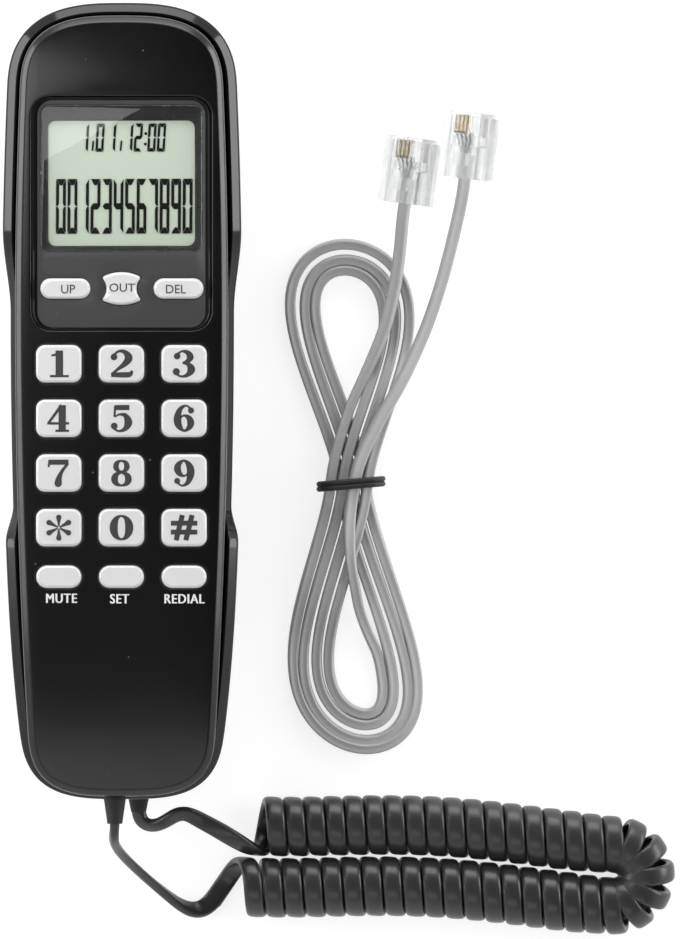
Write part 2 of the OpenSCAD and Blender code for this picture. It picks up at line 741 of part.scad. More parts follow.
// Display stack
bezel_play = 0.15;
module display_bezel() {
    color([0.13, 0.13, 0.14]) difference() {
        translate([0, panel_y, 0])
            slab(bezel_w - 2 * bezel_play, bezel_h - 2 * bezel_play, bezel_r - bezel_play,
                seat_z, seat_z + bezel_t);
        translate([0, lens_y, 0]) slab(lens_w + 0.2, lens_h + 0.2, lens_r + 0.1, seat_z - 1, face_z + 1);
        translate([0, panel_key_y, 0]) {
            for (k = [0, 2])
                translate([panel_key_x[k], 0, 0])
                    slab(side_key_w + 2 * panel_fit, side_key_h + 2 * panel_fit,
                        side_key_h / 2 + panel_fit - eps,
                        seat_z - 1, face_z + 1);
            translate([0, 0, seat_z - 1]) linear_extrude(4) spool(mid_key_w, mid_key_h, panel_fit);
        }
    }
}
module display_lens() {
    color([0.75, 0.78, 0.75]) translate([0, lens_y, 0])
        slab(lens_w, lens_h, lens_r, seat_z, seat_z + bezel_t);
}
lcd_z = inner_face_z - 0.1 - lcd_t;
module lcd_panel() {
    color([0.72, 0.79, 0.7]) translate([0, view_y, lcd_z + lcd_t / 2])
        cube([view_w + 1.6, view_h + 2, lcd_t], center = true);
}

// Main board with the keypad's rubber mat on it
module main_board() {
    color([0.12, 0.4, 0.2]) translate([-board_w / 2, -board_len / 2, board_under])
        cube([board_w, board_len, board_t]);
}
module keypad_mat() {
    color([0.35, 0.35, 0.36]) translate([0, (panel_key_y + long_y) / 2, 0])
        slab(board_w - 1, panel_key_y - long_y + 9, 2, mat_z, mat_z + mat_t);
}
module zebra_strip() {
    color([0.3, 0.3, 0.32]) translate([-view_w / 2, view_y + view_h / 2 - 2, mat_z])
        cube([view_w, 2.4, lcd_z - mat_z]);
}
module receiver() {
    color([0.25, 0.25, 0.26]) translate([receiver_at[0], receiver_at[1], back_z + back_t + cup_floor + 0.05])
        rotate_extrude() polygon([[0, 0], [receiver_r, 0], [receiver_r, 5], [receiver_r - 4, 6.5],
            [receiver_r - 4, 9], [0, 9]]);
}
module microphone() {
    color([0.55, 0.55, 0.57]) translate([mic_at[0], mic_at[1], back_z + back_t + cup_floor + 0.05])
        cylinder(r = mic_r, h = mic_h);
}
ringer_in = 18;
ringer_r = 10;
ringer_plate_t = 0.3;
ringer_can_r = 7;
ringer_h = 2.5;
module ringer() {
    color([0.8, 0.68, 0.35]) translate([0, -board_len / 2 + ringer_in, board_under - ringer_h]) {
        cylinder(r = ringer_r, h = ringer_plate_t);
        cylinder(r = ringer_can_r, h = ringer_h);
    }
}

// Tube with n sides along a path. Its flat side lies level unless sideways vectors are given.
function tangent(p, i) = unit(p[min(i + 1, len(p) - 1)] - p[max(i - 1, 0)]);
function level(t) = unit(cross(t, [0, 0, 1]));
function tube_ring(c, a, b, w, t, n) = [for (j = [0 : n - 1])
    let(e = n == 6 ? [[1, 0], [0.6, 1], [-0.6, 1], [-1, 0], [-0.6, -1], [0.6, -1]][j]
        : [cos(22.5 + 45 * j), sin(22.5 + 45 * j)] / cos(22.5))
    c + a * (e[0] * w / 2) + b * (e[1] * t / 2)];
function tube_rings(path, sides, w, t, n) = [for (i = [0 : len(path) - 1])
    let(d = tangent(path, i), a = unit(sides[i] - d * (sides[i] * d)), b = cross(d, a))
    tube_ring(path[i], a, b, w, t, n)];
module tube_skin(rings, n) {
    rows = len(rings);
    points = [for (r = rings) each r];
    end = (rows - 1) * n;
    walls = [for (k = [0 : rows - 2], j = [0 : n - 1])
        let(a = k * n + j, b = k * n + (j + 1) % n) each [[a, a + n, b + n], [a, b + n, b]]];
    caps = [for (j = [1 : n - 2]) each [[0, j, j + 1], [end + j + 1, end + j, end]]];
    polyhedron(points, concat(walls, caps), convexity = 10);
}
module tube(path, w, t, n) {
    sides = [for (i = [0 : len(path) - 1]) level(tangent(path, i))];
    tube_skin(tube_rings(path, sides, w, t, n), n);
}
function spline(p, per) = concat([for (i = [0 : len(p) - 2], k = [0 : per - 1])
    let(a = p[max(i - 1, 0)], b = p[i], c = p[i + 1], d = p[min(i + 2, len(p) - 1)], t = k / per)
    0.5 * (2 * b + (c - a) * t + (2 * a - 5 * b + 4 * c - d) * t * t + (3 * b - a - 3 * c + d) * t * t * t)],
    [p[len(p) - 1]]);

// Curly cord: a helix round an axis that runs out, turns in a U and comes back
leg_gap = 0.5;
turn_r = (curl_od + leg_gap) / 2;
turn_at = [98.4, -95.1];
turn_neck = 0.74;
leg_slope = -3;
curl_r = (curl_od - curl_cord_t) / 2;
curl_z = curl_od / 2 + 0.2;
far_len = curls_far * curl_pitch;
turn_len = PI * turn_r;
near_len = curls_near * curl_pitch;
curls = curls_far + curls_turn + curls_near;
tail_far = 0.3;
tail_near = 0.5;
pull_far = 10;
pull_near = 4;
curl_steps = 8;
function sloped(v) = let(c = cos(leg_slope), d = sin(leg_slope)) [v[0] * c - v[1] * d, v[0] * d + v[1] * c];
function axis_at(s) = turn_at + sloped(s < far_len ? [s - far_len, turn_r]
    : s > far_len + turn_len ? [far_len + turn_len - s, -turn_r]
    : let(a = 90 - 180 * (s - far_len) / turn_len) turn_r * [cos(a), sin(a)]);
function axis_left(s) = sloped(s < far_len ? [0, 1] : s > far_len + turn_len ? [0, -1]
    : let(a = 90 - 180 * (s - far_len) / turn_len) [cos(a), sin(a)]);
function along(n) = (n < curls_far ? n * curl_pitch
    : n < curls_far + curls_turn ? far_len + turn_len * (n - curls_far) / curls_turn
    : far_len + turn_len + (n - curls_far - curls_turn) * curl_pitch)
    - pull_far * sq(max(0, 1 - n / tail_far)) + pull_near * sq(max(0, 1 - (curl_total - n) / tail_near));
function neck_at(s) = let(x = (s - far_len) / turn_len)
    1 - (1 - turn_neck) * smooth(min(x + 0.5, 1.5 - x) / 0.5);
curl_start = 90;
curl_end = 270;
curl_total = curls + (curl_end - curl_start) / 360;
function curl_angle(n) = curl_start + 360 * n;
function curl_point(n) = let(s = along(n), c = axis_at(s), l = axis_left(s), r = curl_r * neck_at(s),
    a = curl_angle(n)) [c[0] + l[0] * r * cos(a), c[1] + l[1] * r * cos(a), curl_z + r * sin(a)];
function curl_side(n) = let(s = along(n), l = axis_left(s)) [l[1], -l[0], 0];
curl_n = concat([for (k = [0 : ceil(curl_total * curl_steps) - 1]) k / curl_steps], [curl_total]);
curl_body = [for (n = curl_n) curl_point(n)];
tail_run = curl_cord_w + 0.4;
function flat(v) = unit([v[0], v[1], 0]);
far_dir = flat(curl_point(0) - curl_point(0.02));
near_dir = flat(curl_point(curl_total) - curl_point(curl_total - 0.02));
far_end = curl_body[0] + far_dir * tail_run;
near_end = curl_body[len(curl_body) - 1] + near_dir * tail_run;
curl_path = concat([far_end], curl_body, [near_end]);
curl_sides = concat([curl_side(0)], [for (n = curl_n) curl_side(n)], [curl_side(curl_total)]);
curl_rings = tube_rings(curl_path, curl_sides, curl_cord_w, curl_cord_t, 6);
function ring_gap(a, b) = min([for (p = a, q = b) norm(p - q)]);
function row_gap(rings, lo, hi) =
    min([for (i = [0 : len(rings) - 1 - hi], d = [lo : hi]) ring_gap(rings[i], rings[i + d])]);
curl_gap = row_gap(curl_rings, 5, 11);
module curly_cord_curls() {
    echo(str("Least gap between curls, mm: ", curl_gap));
    color([0.2, 0.2, 0.21]) tube_skin(curl_rings, 6);
}

// The two straight leads of the curly cord, from the strain reliefs to the curls
base_lead_points = [[4.8, -85.3, 7.1], [7.4, -85, 8.2], [9.6, -83.4, 10]];
handset_lead_points = [[-1.6, -87.8, 26.4], [-0.6, -89.8, 20.6], [1.8, -92.2, 14.6], [6, -95.2, 9],
    [11, -98.6, 4.6]];
base_tip = [base_gland_at[0], base_gland_y - base_gland_out, base_gland_at[1]];
handset_tip = [handset_gland_at[0], handset_gland_y - handset_gland_out, handset_gland_at[1]];
lead_w = 2.9;
lead_t = 1.9;
lead_straight = 1.5;
function lead_path(first, points, end) =
    concat([first[0]], spline(concat([first[1]], points, [end[0]]), 3), [end[1]]);
function gland_stub(p) = [p, p - [0, lead_straight, 0]];
function lead_stub(p, d, run) = [p + d * run, p];
base_lead_path = lead_path(gland_stub(base_tip), base_lead_points,
    lead_stub(far_end, far_dir, lead_straight));
handset_lead_path = lead_path(gland_stub(handset_tip), handset_lead_points,
    lead_stub(near_end, near_dir, lead_straight));
module curly_cord_base_lead() {
    color([0.2, 0.2, 0.21]) tube(base_lead_path, lead_w, lead_t, 8);
}
module curly_cord_handset_lead() {
    color([0.2, 0.2, 0.21]) tube(handset_lead_path, lead_w, lead_t, 8);
}

// Line cord hank: loops of a figure of eight beside each other, crossing at the waist
hank_at = [45.8, -16.6];
hank_w = 2;
hank_h = 2.3;
hank_floor = hank_h / 2 + 0.05;
tie_t = 1.2;
hank_start = 75;
hank_end = 225;
hank_turns = hank_loops + (hank_end - hank_start) / 360;
low_rise = tie_t + 0.15;
high_rise = low_rise + hank_h + 0.5;
lobe_skew = [-1.4, 3.4];
function eight(a) = let(c = cos(a), up = c > 0)
    [hank_spread * sin(a) * c * pow(abs(c), 0.4) + (up ? lobe_skew[0] : lobe_skew[1]) * pow(c, 4),
        (up ? hank_half : hank_half_low) * c];
function eight_left(a) = let(d = unit(eight(a + 0.5) - eight(a - 0.5))) [-d[1], d[0]];
lead_top_z = hank_floor + high_rise + hank_h / 2 + 0.3 + line_t / 2;
function hump(a, c, half, ramp) = smooth((half + ramp - abs(a - c)) / ramp);
function hank_z(a) = hank_floor + high_rise * hump(a, 90, 22, 18) + low_rise * hump(a, 270, 14, 18);
function hank_point(n) = let(a = (hank_start + 360 * n) % 360, k = n - hank_turns / 2,
    p = eight(a) + eight_left(a) * (k * hank_step))
    [hank_at[0] + p[0], hank_at[1] + p[1], hank_z(a)];
hank_steps = 24;
hank_body = [for (k = [0 : round(hank_turns * hank_steps)]) hank_point(k / hank_steps)];
hank_in_dir = unit(hank_point(0) - hank_point(0.002));
hank_out_dir = unit(hank_point(hank_turns) - hank_point(hank_turns - 0.002));
hank_in = hank_body[0] + hank_in_dir * hank_h;
hank_out = hank_body[len(hank_body) - 1] + hank_out_dir * hank_h;
hank_path = concat([hank_in], hank_body, [hank_out]);
hank_sides = [for (i = [0 : len(hank_path) - 1]) level(tangent(hank_path, i))];
hank_rings = tube_rings(hank_path, hank_sides, hank_w, hank_h, 6);
function far_gap(rings, skip) = min([for (i = [0 : len(rings) - 1 - skip], j = [i + skip : len(rings) - 1])
    let(d = norm(rings[i][0] - rings[j][0])) d > 14 ? d : ring_gap(rings[i], rings[j])]);
hank_gap = far_gap(hank_rings, 5);
module line_cord_hank() {
    echo(str("Least gap between hank loops, mm: ", hank_gap));
    color([0.6, 0.6, 0.61]) tube_skin(hank_rings, 6);
}

// Elastic tie round the waist
tie_w = 1.8;
tie_in_w = hank_turns * hank_step + hank_w + 1.2;
tie_in_h = lead_top_z + line_t / 2 + 0.2 - tie_t;
module cord_tie() {
    color([0.07, 0.07, 0.07]) translate([hank_at[0], hank_at[1] + tie_w / 2, tie_in_h / 2 + tie_t])
        rotate([90, 0, 0]) linear_extrude(tie_w) difference() {
            round_rect(tie_in_w + 2 * tie_t, tie_in_h + 2 * tie_t, 3);
            round_rect(tie_in_w, tie_in_h, 3 - tie_t);
        }
}

// Modular plugs, lying on one edge and the latch
plug_a_at = [56.6, 39.6];
plug_b_at = [68.6, 44.6];
plug_a_turn = -8;
plug_b_turn = -7;
plug_z = plug_w / 2 * sin(plug_roll) + plug_h / 2 * cos(plug_roll) + 0.05;
latch_w = 3;
latch_t = 0.8;
latch_len = 9;
latch_lift = 1.6;
module place_plug(at, turn) {
    translate([at[0], at[1], plug_z]) rotate([0, 0, turn]) rotate([0, -plug_roll, 0]) children();
}
module plug_body() {
    color([0.85, 0.87, 0.88]) difference() {
        translate([-plug_w / 2, 0, -plug_h / 2]) cube([plug_w, plug_len, plug_h]);
        for (x = contact_x)
            translate([x - 0.25, plug_len - 4.5, plug_h / 2 - 1.6]) cube([0.5, 5, 2]);
        translate([-2, 2.6, plug_h / 2 - 1.8]) cube([4, 2.6, 2]);
        translate([-plug_w / 2 - 1, plug_len - 0.8, -plug_h / 2 - 1]) cube([plug_w + 2, 1, 2.2]);
    }
}
module plug_contacts() {
    color([0.85, 0.68, 0.3])
        for (x = contact_x)
            translate([x - 0.18, plug_len - 4.3, plug_h / 2 - 1.55]) cube([0.36, 3.6, 1.3]);
}
latch_back = 1.2;
latch_gap = 0.1;
module plug_latch() {
    color([0.85, 0.87, 0.88]) translate([0, plug_len - latch_back, -plug_h / 2 - latch_gap])
        rotate([90, 0, -90]) linear_extrude(latch_w, center = true) {
            polygon([[0, 0], [0, -latch_t], [latch_len, -latch_lift - latch_t], [latch_len, -latch_lift],
                [2, -latch_lift * 0.22]]);
            translate([0, -latch_t / 2]) circle(latch_t / 2);
        }
}
module plug_a_body() {
    place_plug(plug_a_at, plug_a_turn) plug_body();
}
module plug_a_contacts() {
    place_plug(plug_a_at, plug_a_turn) plug_contacts();
}
module plug_a_latch() {
    place_plug(plug_a_at, plug_a_turn) plug_latch();
}
module plug_b_body() {
    place_plug(plug_b_at, plug_b_turn) plug_body();
}
module plug_b_contacts() {
    place_plug(plug_b_at, plug_b_turn) plug_contacts();
}
module plug_b_latch() {
    place_plug(plug_b_at, plug_b_turn) plug_latch();
}

// The line cord's two straight leads, from the plugs to the hank
function back_of(turn) = [sin(turn), -cos(turn), 0];
plug_a_tail = [plug_a_at[0], plug_a_at[1], plug_z];
plug_b_tail = [plug_b_at[0], plug_b_at[1], plug_z];
lead_a_points = [[55.6, 30, 5.4], [54.4, 22, 5.4], [52, 13, 5.8]];
lead_b_points = [[66.6, 34, 5.6], [64, 24, 5.8], [60.6, 14, 6.2], [56, 4, 7.4], [51.4, -4, lead_top_z],
    [47.6, -12, lead_top_z], [46, -19, lead_top_z], [45.4, -26, lead_top_z], [45.9, -33, lead_top_z],
    [46.7, -37.6, 6.6], [47.5, -42, 3.6], [49.5, -47.3, 1.5],
    [50.4, -49.2, 1.25]];
hank_straight = 0.5;
function plug_stub(p, turn) = [p, p + back_of(turn) * 2 * lead_straight];
lead_a_path = lead_path(plug_stub(plug_a_tail, plug_a_turn), lead_a_points,
    lead_stub(hank_in, hank_in_dir, hank_straight));
lead_b_path = lead_path(plug_stub(plug_b_tail, plug_b_turn), lead_b_points,
    lead_stub(hank_out, hank_out_dir, hank_straight));
module line_cord_lead_a() {
    color([0.6, 0.6, 0.61]) tube(lead_a_path, line_w, line_t, 8);
}
module line_cord_lead_b() {
    color([0.6, 0.6, 0.61]) tube(lead_b_path, line_w, line_t, 8);
}

base_cradle();
base_plate();
base_screws();
rubber_feet();
line_jack();
jack_contacts();
base_board();
hook_switch();
hook_spring();
hook_plunger();
base_cord_gland();
handset_front_shell();
handset_back_shell();
display_bezel();
display_lens();
lcd_panel();
zebra_strip();
main_board();
keypad_mat();
receiver();
microphone();
ringer();
handset_screws();
handset_cord_gland();
key_1();
key_2();
key_3();
key_4();
key_5();
key_6();
key_7();
key_8();
key_9();
key_star();
key_0();
key_hash();
key_mute();
key_set();
key_redial();
key_up();
key_out();
key_del();
curly_cord_curls();
curly_cord_base_lead();
curly_cord_handset_lead();
line_cord_hank();
line_cord_lead_a();
line_cord_lead_b();
cord_tie();
plug_a_body();
plug_a_contacts();
plug_a_latch();
plug_b_body();
plug_b_contacts();
plug_b_latch();
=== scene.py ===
import math
from functools import partial

import bmesh
import bpy
import numpy as np
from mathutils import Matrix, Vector
from mathutils.geometry import delaunay_2d_cdt


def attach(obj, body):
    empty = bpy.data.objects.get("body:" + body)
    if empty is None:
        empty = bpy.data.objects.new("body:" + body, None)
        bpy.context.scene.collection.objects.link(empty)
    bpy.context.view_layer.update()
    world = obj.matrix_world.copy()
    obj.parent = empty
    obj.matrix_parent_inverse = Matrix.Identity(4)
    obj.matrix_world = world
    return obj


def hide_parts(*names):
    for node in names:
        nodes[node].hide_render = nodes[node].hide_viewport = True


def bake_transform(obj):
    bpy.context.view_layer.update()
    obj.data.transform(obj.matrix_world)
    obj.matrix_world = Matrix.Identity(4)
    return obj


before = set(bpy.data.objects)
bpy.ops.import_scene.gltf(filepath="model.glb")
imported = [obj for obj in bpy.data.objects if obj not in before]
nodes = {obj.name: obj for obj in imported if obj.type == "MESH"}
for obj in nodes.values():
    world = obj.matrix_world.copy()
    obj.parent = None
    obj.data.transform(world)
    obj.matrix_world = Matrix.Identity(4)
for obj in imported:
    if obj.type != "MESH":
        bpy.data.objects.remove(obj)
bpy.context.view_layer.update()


# The table and the light.
# A sheet of white card, seen straight from above with a long lens. Low soft boxes at both sides and past the
# display end draw bright edges on dark plastic, and a dim ceiling keeps its tops dark. A small lamp leaves a
# sheen on the window, and two fill lamps that leave no gloss light the pale pieces.

def shader(tree, kind, sockets=None, **settings):
    """Adds one shader node. Settings are its properties. A socket takes a value, an output, or a node, which
    stands for its first output."""
    made = tree.nodes.new(kind)
    for key, value in settings.items():
        setattr(made, key, value)
    for key, value in (sockets or {}).items():
        if isinstance(value, bpy.types.Node):
            value = value.outputs[0]
        if isinstance(value, bpy.types.NodeSocket):
            tree.links.new(value, made.inputs[key])
        else:
            made.inputs[key].default_value = value
    return made


def worked(tree, operation, a, b):
    """Two values worked into one by an operation of the Math node."""
    return shader(tree, "ShaderNodeMath", {0: a, 1: b}, operation=operation)


def ranged(tree, value, start, end, low=0.0, high=1.0, **settings):
    """A value carried from the range between start and end to the one between low and high."""
    sockets = {"Value": value, "From Min": start, "From Max": end, "To Min": low, "To Max": high}
    return shader(tree, "ShaderNodeMapRange", sockets, **settings)


def blank_material(name):
    """A material with an empty node tree, and that tree."""
    made = bpy.data.materials.new(name)
    made.use_nodes = True
    made.node_tree.nodes.clear()
    return made, made.node_tree


def any_ray(tree, *kinds):
    """1 for rays of any of the kinds named, and 0 for the rest."""
    path = shader(tree, "ShaderNodeLightPath")
    total = path.outputs[kinds[0]]
    for kind in kinds[1:]:
        total = worked(tree, "MAXIMUM", total, path.outputs[kind])
    return total


card, tree = blank_material("white_card")
seen = shader(tree, "ShaderNodeBsdfDiffuse", {"Color": (0.4, 0.4, 0.4, 1)})
lift = shader(tree, "ShaderNodeEmission", {"Color": (1, 1, 1, 1), "Strength": 0.77})
lifted = shader(tree, "ShaderNodeAddShader", {0: seen, 1: lift})
spread = shader(tree, "ShaderNodeBsdfDiffuse", {"Color": (0.8, 0.8, 0.8, 1)})
straight = any_ray(tree, "Is Camera Ray", "Is Glossy Ray", "Is Transmission Ray")
choice = shader(tree, "ShaderNodeMixShader", {0: straight, 1: spread, 2: lifted})
shader(tree, "ShaderNodeOutputMaterial", {"Surface": choice})

card_half, card_drop = 3, 5e-5
corners = [(-1, -1), (1, -1), (1, 1), (-1, 1)]
card_mesh = bpy.data.meshes.new("floor")
card_mesh.from_pydata([(x * card_half, y * card_half, -card_drop) for x, y in corners], [], [(0, 1, 2, 3)])
card_mesh.materials.append(card)
floor = bpy.data.objects.new("floor", card_mesh)
bpy.context.scene.collection.objects.link(floor)

ceiling_lean, ceiling_mid, ceiling_least = (-0.60, -0.30, 0.0), 0.10, 0.04
horizon_end, ceiling_start = 0.2, 0.8
world = bpy.data.worlds.new("ceiling")
world.use_nodes = True
tree = world.node_tree
tree.nodes.clear()
way = shader(tree, "ShaderNodeTexCoord").outputs["Generated"]
across = shader(tree, "ShaderNodeVectorMath", {0: way, 1: ceiling_lean}, operation="DOT_PRODUCT")
overhead = worked(tree, "ADD", across.outputs["Value"], ceiling_mid)
overhead = worked(tree, "MAXIMUM", overhead, ceiling_least)
height = shader(tree, "ShaderNodeSeparateXYZ", {"Vector": way}).outputs["Z"]
share = ranged(tree, height, horizon_end, ceiling_start, interpolation_type="SMOOTHSTEP")
glow = shader(tree, "ShaderNodeMix", {0: share, 2: 1.0, 3: overhead}, data_type="FLOAT")
sky = shader(tree, "ShaderNodeBackground", {"Color": (1, 1, 1, 1), "Strength": glow})
shader(tree, "ShaderNodeOutputWorld", {"Surface": sky})
bpy.context.scene.world = world


def soft_box(name, place, aim, width, height, watts, mirrored=True):
    """A flat lamp at place, facing aim, that the eye doesn't see. One not mirrored leaves no gloss either."""
    data = bpy.data.lights.new(name, "AREA")
    data.shape = "RECTANGLE"
    data.size, data.size_y, data.energy = width, height, watts
    lamp = bpy.data.objects.new(name, data)
    lamp.location = place
    lamp.rotation_mode = "QUATERNION"
    lamp.rotation_quaternion = (Vector(aim) - Vector(place)).to_track_quat("-Z", "Y")
    lamp.visible_camera = False
    lamp.visible_glossy = mirrored
    bpy.context.scene.collection.objects.link(lamp)


soft_box("left_box", (-1.25, 0.50, 0.31), (0, 0.50, 0.1), 1.14, 0.44, 8.4)
soft_box("right_box", (1.25, 0.50, 0.31), (0, 0.50, 0.1), 1.14, 0.44, 9.2)
soft_box("left_fill", (-0.9, 0.1, 1.0), (0, 0, 0), 0.8, 0.8, 3.3, mirrored=False)
soft_box("right_fill", (0.9, 0.1, 1.0), (0, 0, 0), 0.8, 0.8, 3.3, mirrored=False)
soft_box("top_box", (0.05, 1.35, 0.5), (0.05, 0, 0.1), 1.2, 0.8, 11.0)
soft_box("low_box", (0.02, -0.75, 1.1), (0.02, 0, 0), 0.8, 0.5, 1.3)
soft_box("sheen_box", (-0.075, 0.085, 0.20), (-0.06, 0.075, 0), 0.08, 0.10, 0.07)

camera_height, mid_height, view_tall, film = 6.0, 0.025, 0.1878, 36
lens = bpy.data.cameras.new("camera")
lens.sensor_fit = "VERTICAL"
lens.sensor_width = lens.sensor_height = film
lens.lens = film * (camera_height - mid_height) / view_tall
lens.clip_start, lens.clip_end = 0.5, 100
camera = bpy.data.objects.new("camera", lens)
camera.location = (0.0436, -0.0137, camera_height)
bpy.context.scene.collection.objects.link(camera)
bpy.context.scene.camera = camera
bpy.context.scene.view_settings.view_transform = "Standard"


# Cradle.
# One glossy black moulding: a tray with sloping rims, dipped on both sides where fingers lift the handset.
# Its open underside takes the base plate, its upper end wall has the window of the line socket, and its
# saddle has the hole of the hook plunger. Lengths from here on are in millimetres.

mm = 0.001
half_len, handset_y = 77.95, -1.05
widest_at, widest_half, low_half, top_half = 18, 21.25, 18.8, 20.3
low_round, low_power, top_round, top_power = 14, 3.2, 15, 2.9
low_shoulder, top_shoulder = low_round - half_len, half_len - top_round
recess_low, low_ramp, recess_top, top_ramp = -19.75, 7.4, 18.85, 16.8
draft, tuck_at, tuck = math.tan(math.radians(9)), -20, 2.1
rim_top, rim_dip, well_floor, well_rise = 25, 6, 13, 4
wall_thick, wall_dip, pocket_gap = 2.6, 0.7, 0.5


def half_width(v):
    """Half the handset's width at station v: two parabolas that meet where it is widest."""
    upper = widest_half - (widest_half - top_half) * ((v - widest_at) / (top_shoulder - widest_at)) ** 2
    lower = widest_half - (widest_half - low_half) * ((widest_at - v) / (widest_at - low_shoulder)) ** 2
    return np.where(v > widest_at, upper, lower)


def ease(t):
    """Smooth step from 0 to 1."""
    t = np.clip(t, 0, 1)
    return t * t * (3 - 2 * t)


turn = np.radians(90 * ease(np.linspace(0, 1, 41)))
low_v = low_shoulder - low_round * np.sin(turn[::-1]) ** (2 / low_power)
top_v = top_shoulder + top_round * np.sin(turn) ** (2 / top_power)
side_v = np.linspace(low_shoulder, top_shoulder, 140)[1:-1]
low_x = half_width(low_v) * np.abs(np.cos(turn[::-1])) ** (2 / low_power)
top_x = half_width(top_v) * np.abs(np.cos(turn)) ** (2 / top_power)
right_v = np.concatenate([low_v, side_v, top_v])
right_x = np.concatenate([low_x, half_width(side_v), top_x])
right_x[[0, -1]] = 0
ring_x = np.concatenate([right_x, -right_x[-2:0:-1]])
ring_v = np.concatenate([right_v, right_v[-2:0:-1]])
step = np.stack([np.roll(line, -1) - np.roll(line, 1) for line in (ring_x, ring_v)])
step /= np.linalg.norm(step, axis=0)
ring_nx, ring_nv = step[1], -step[0]
ring_n = len(ring_x)


def loop(out, z):
    """The handset's outline moved out by a distance, at a height: both may change along it."""
    out, z = np.broadcast_to(out, ring_n), np.broadcast_to(z, ring_n)
    return np.stack([ring_x + ring_nx * out, ring_v + ring_nv * out + handset_y, z], axis=1)


def dip(v):
    """How far the finger recess has sunk at a station: 1 along its bottom and 0 outside it."""
    return (1 - ease((v - recess_top) / top_ramp)) * (1 - ease((recess_low - v) / low_ramp))


def leaned(v, z):
    """How far the walls stand out at a height: drawn in by the draft, and more towards the lower end."""
    tucked = tuck * (np.maximum(tuck_at - v, 0) / (half_len + tuck_at)) ** 3
    return -tucked - draft * (rim_top - z)


def pocket(z):
    """The inside of the cradle's wall at a height, from the handset's outline, with a gap all round."""
    return pocket_gap + leaned(ring_v, z)


def saddle(p):
    """The height of the cradle's floor over points: low in the two wells and raised between the recesses."""
    return well_floor + well_rise * dip(p[:, 1] - handset_y)


def band_faces(rows, n, wrap=False):
    """Quads between neighbouring closed rows of n points, as one index array. Wrap joins the last row to the
    first."""
    i = np.arange(n)
    j = (i + 1) % n
    k = np.arange(rows if wrap else rows - 1)[:, None]
    a, b = k * n, (k + 1) % rows * n
    return np.stack([a + i, a + j, b + j, b + i], axis=-1).reshape(-1, 4)


def joined(rows, wrap=False):
    """Closed rows of points joined by quads: points and faces."""
    count, n = np.shape(rows)[:2]
    return np.reshape(rows, (-1, 3)), band_faces(count, n, wrap)


def put(name, surfaces, material, body, sharp=32, turn_out=True):
    """A mesh piece from surfaces, each given as points and faces. Points that lie on each other are joined,
    faces look outwards and are smooth, and edges sharper than an angle stay crisp."""
    points, faces = [], []
    for some, sides in surfaces:
        faces += [[int(k) + len(points) for k in face] for face in sides]
        points += (np.reshape(some, (-1, 3)) * mm).tolist()
    mesh = bpy.data.meshes.new(name)
    mesh.from_pydata(points, [], faces)
    work = bmesh.new()
    work.from_mesh(mesh)
    bmesh.ops.remove_doubles(work, verts=work.verts, dist=2e-6)
    if turn_out:
        bmesh.ops.recalc_face_normals(work, faces=work.faces)
    work.to_mesh(mesh)
    work.free()
    mesh.polygons.foreach_set("use_smooth", np.ones(len(mesh.polygons), bool))
    mesh.materials.append(material)
    mesh.validate()
    mesh.set_sharp_from_angle(angle=math.radians(sharp))
    made = bpy.data.objects.new(name, mesh)
    bpy.context.scene.collection.objects.link(made)
    if body:
        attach(made, body)
    return made


def inside(line, p):
    """Which points lie inside a closed line, by counting the edges to the right of each."""
    a, b = line, np.roll(line, -1, axis=0)
    x, y = p[:, 0, None], p[:, 1, None]
    over = (a[:, 1] > y) != (b[:, 1] > y)
    with np.errstate(divide="ignore", invalid="ignore"):
        cut = a[:, 0] + (y - a[:, 1]) * (b[:, 0] - a[:, 0]) / (b[:, 1] - a[:, 1])
    return (over & (x < cut)).sum(axis=1) % 2 == 1


def between_lines(edge, holes, p):
    """Which points lie inside one closed line and outside others."""
    return inside(edge, p) & ~np.any([inside(line, p) for line in holes], axis=0)


def pierced(edge, holes, spacing):
    """A flat sheet inside one closed line with holes cut by others, on a grid of inner points: points, which
    start with those of the lines, and triangles."""
    lines = [edge, *holes]
    low, high = edge.min(axis=0) + spacing / 2, edge.max(axis=0)
    columns, levels = [np.arange(a, b, spacing) for a, b in zip(low, high)]
    grid = np.stack(np.meshgrid(columns, levels), -1).reshape(-1, 2)
    grid = grid[between_lines(edge, holes, grid)]
    every = np.concatenate(lines)
    for part in np.array_split(np.arange(len(every)), 20):
        away = np.linalg.norm(grid[:, None] - every[None, part], axis=2).min(axis=1, initial=9)
        grid = grid[away >= 0.45 * spacing]
    starts = np.cumsum([0] + [len(x) for x in lines])
    edges = [(int(s + k), int(s + (k + 1) % len(x))) for s, x in zip(starts, lines) for k in range(len(x))]
    made = delaunay_2d_cdt([Vector(p) for p in np.concatenate([every, grid])], edges, [], 0, 1e-7, False)
    flat = np.array([tuple(p) for p in made[0]])
    triangles = np.array(made[2])
    triangles = triangles[between_lines(edge, holes, flat[triangles].mean(axis=1))]
    a, b = flat[triangles[:, 1]] - flat[triangles[:, 0]], flat[triangles[:, 2]] - flat[triangles[:, 0]]
    under = a[:, 0] * b[:, 1] - a[:, 1] * b[:, 0] < 0
    triangles[under] = triangles[under][:, ::-1]
    return flat, triangles


def sheet(row, holes, spacing, height, drop=0.0, up=True):
    """A pierced sheet that fills a closed row of points and keeps its heights. Elsewhere it lies a drop below
    the height that a function gives. It looks up or down."""
    flat, triangles = pierced(row[:, :2], holes, spacing)
    level = height(flat) - drop
    level[:len(row)] = row[:, 2]
    return np.column_stack([flat, level]), triangles if up else triangles[:, ::-1]


def stacked(rows):
    """Closed lines with their heights as a stack of loops. A height is one number, or one for each point."""
    return np.stack([np.column_stack([line, np.broadcast_to(z, len(line))]) for line, z in rows])


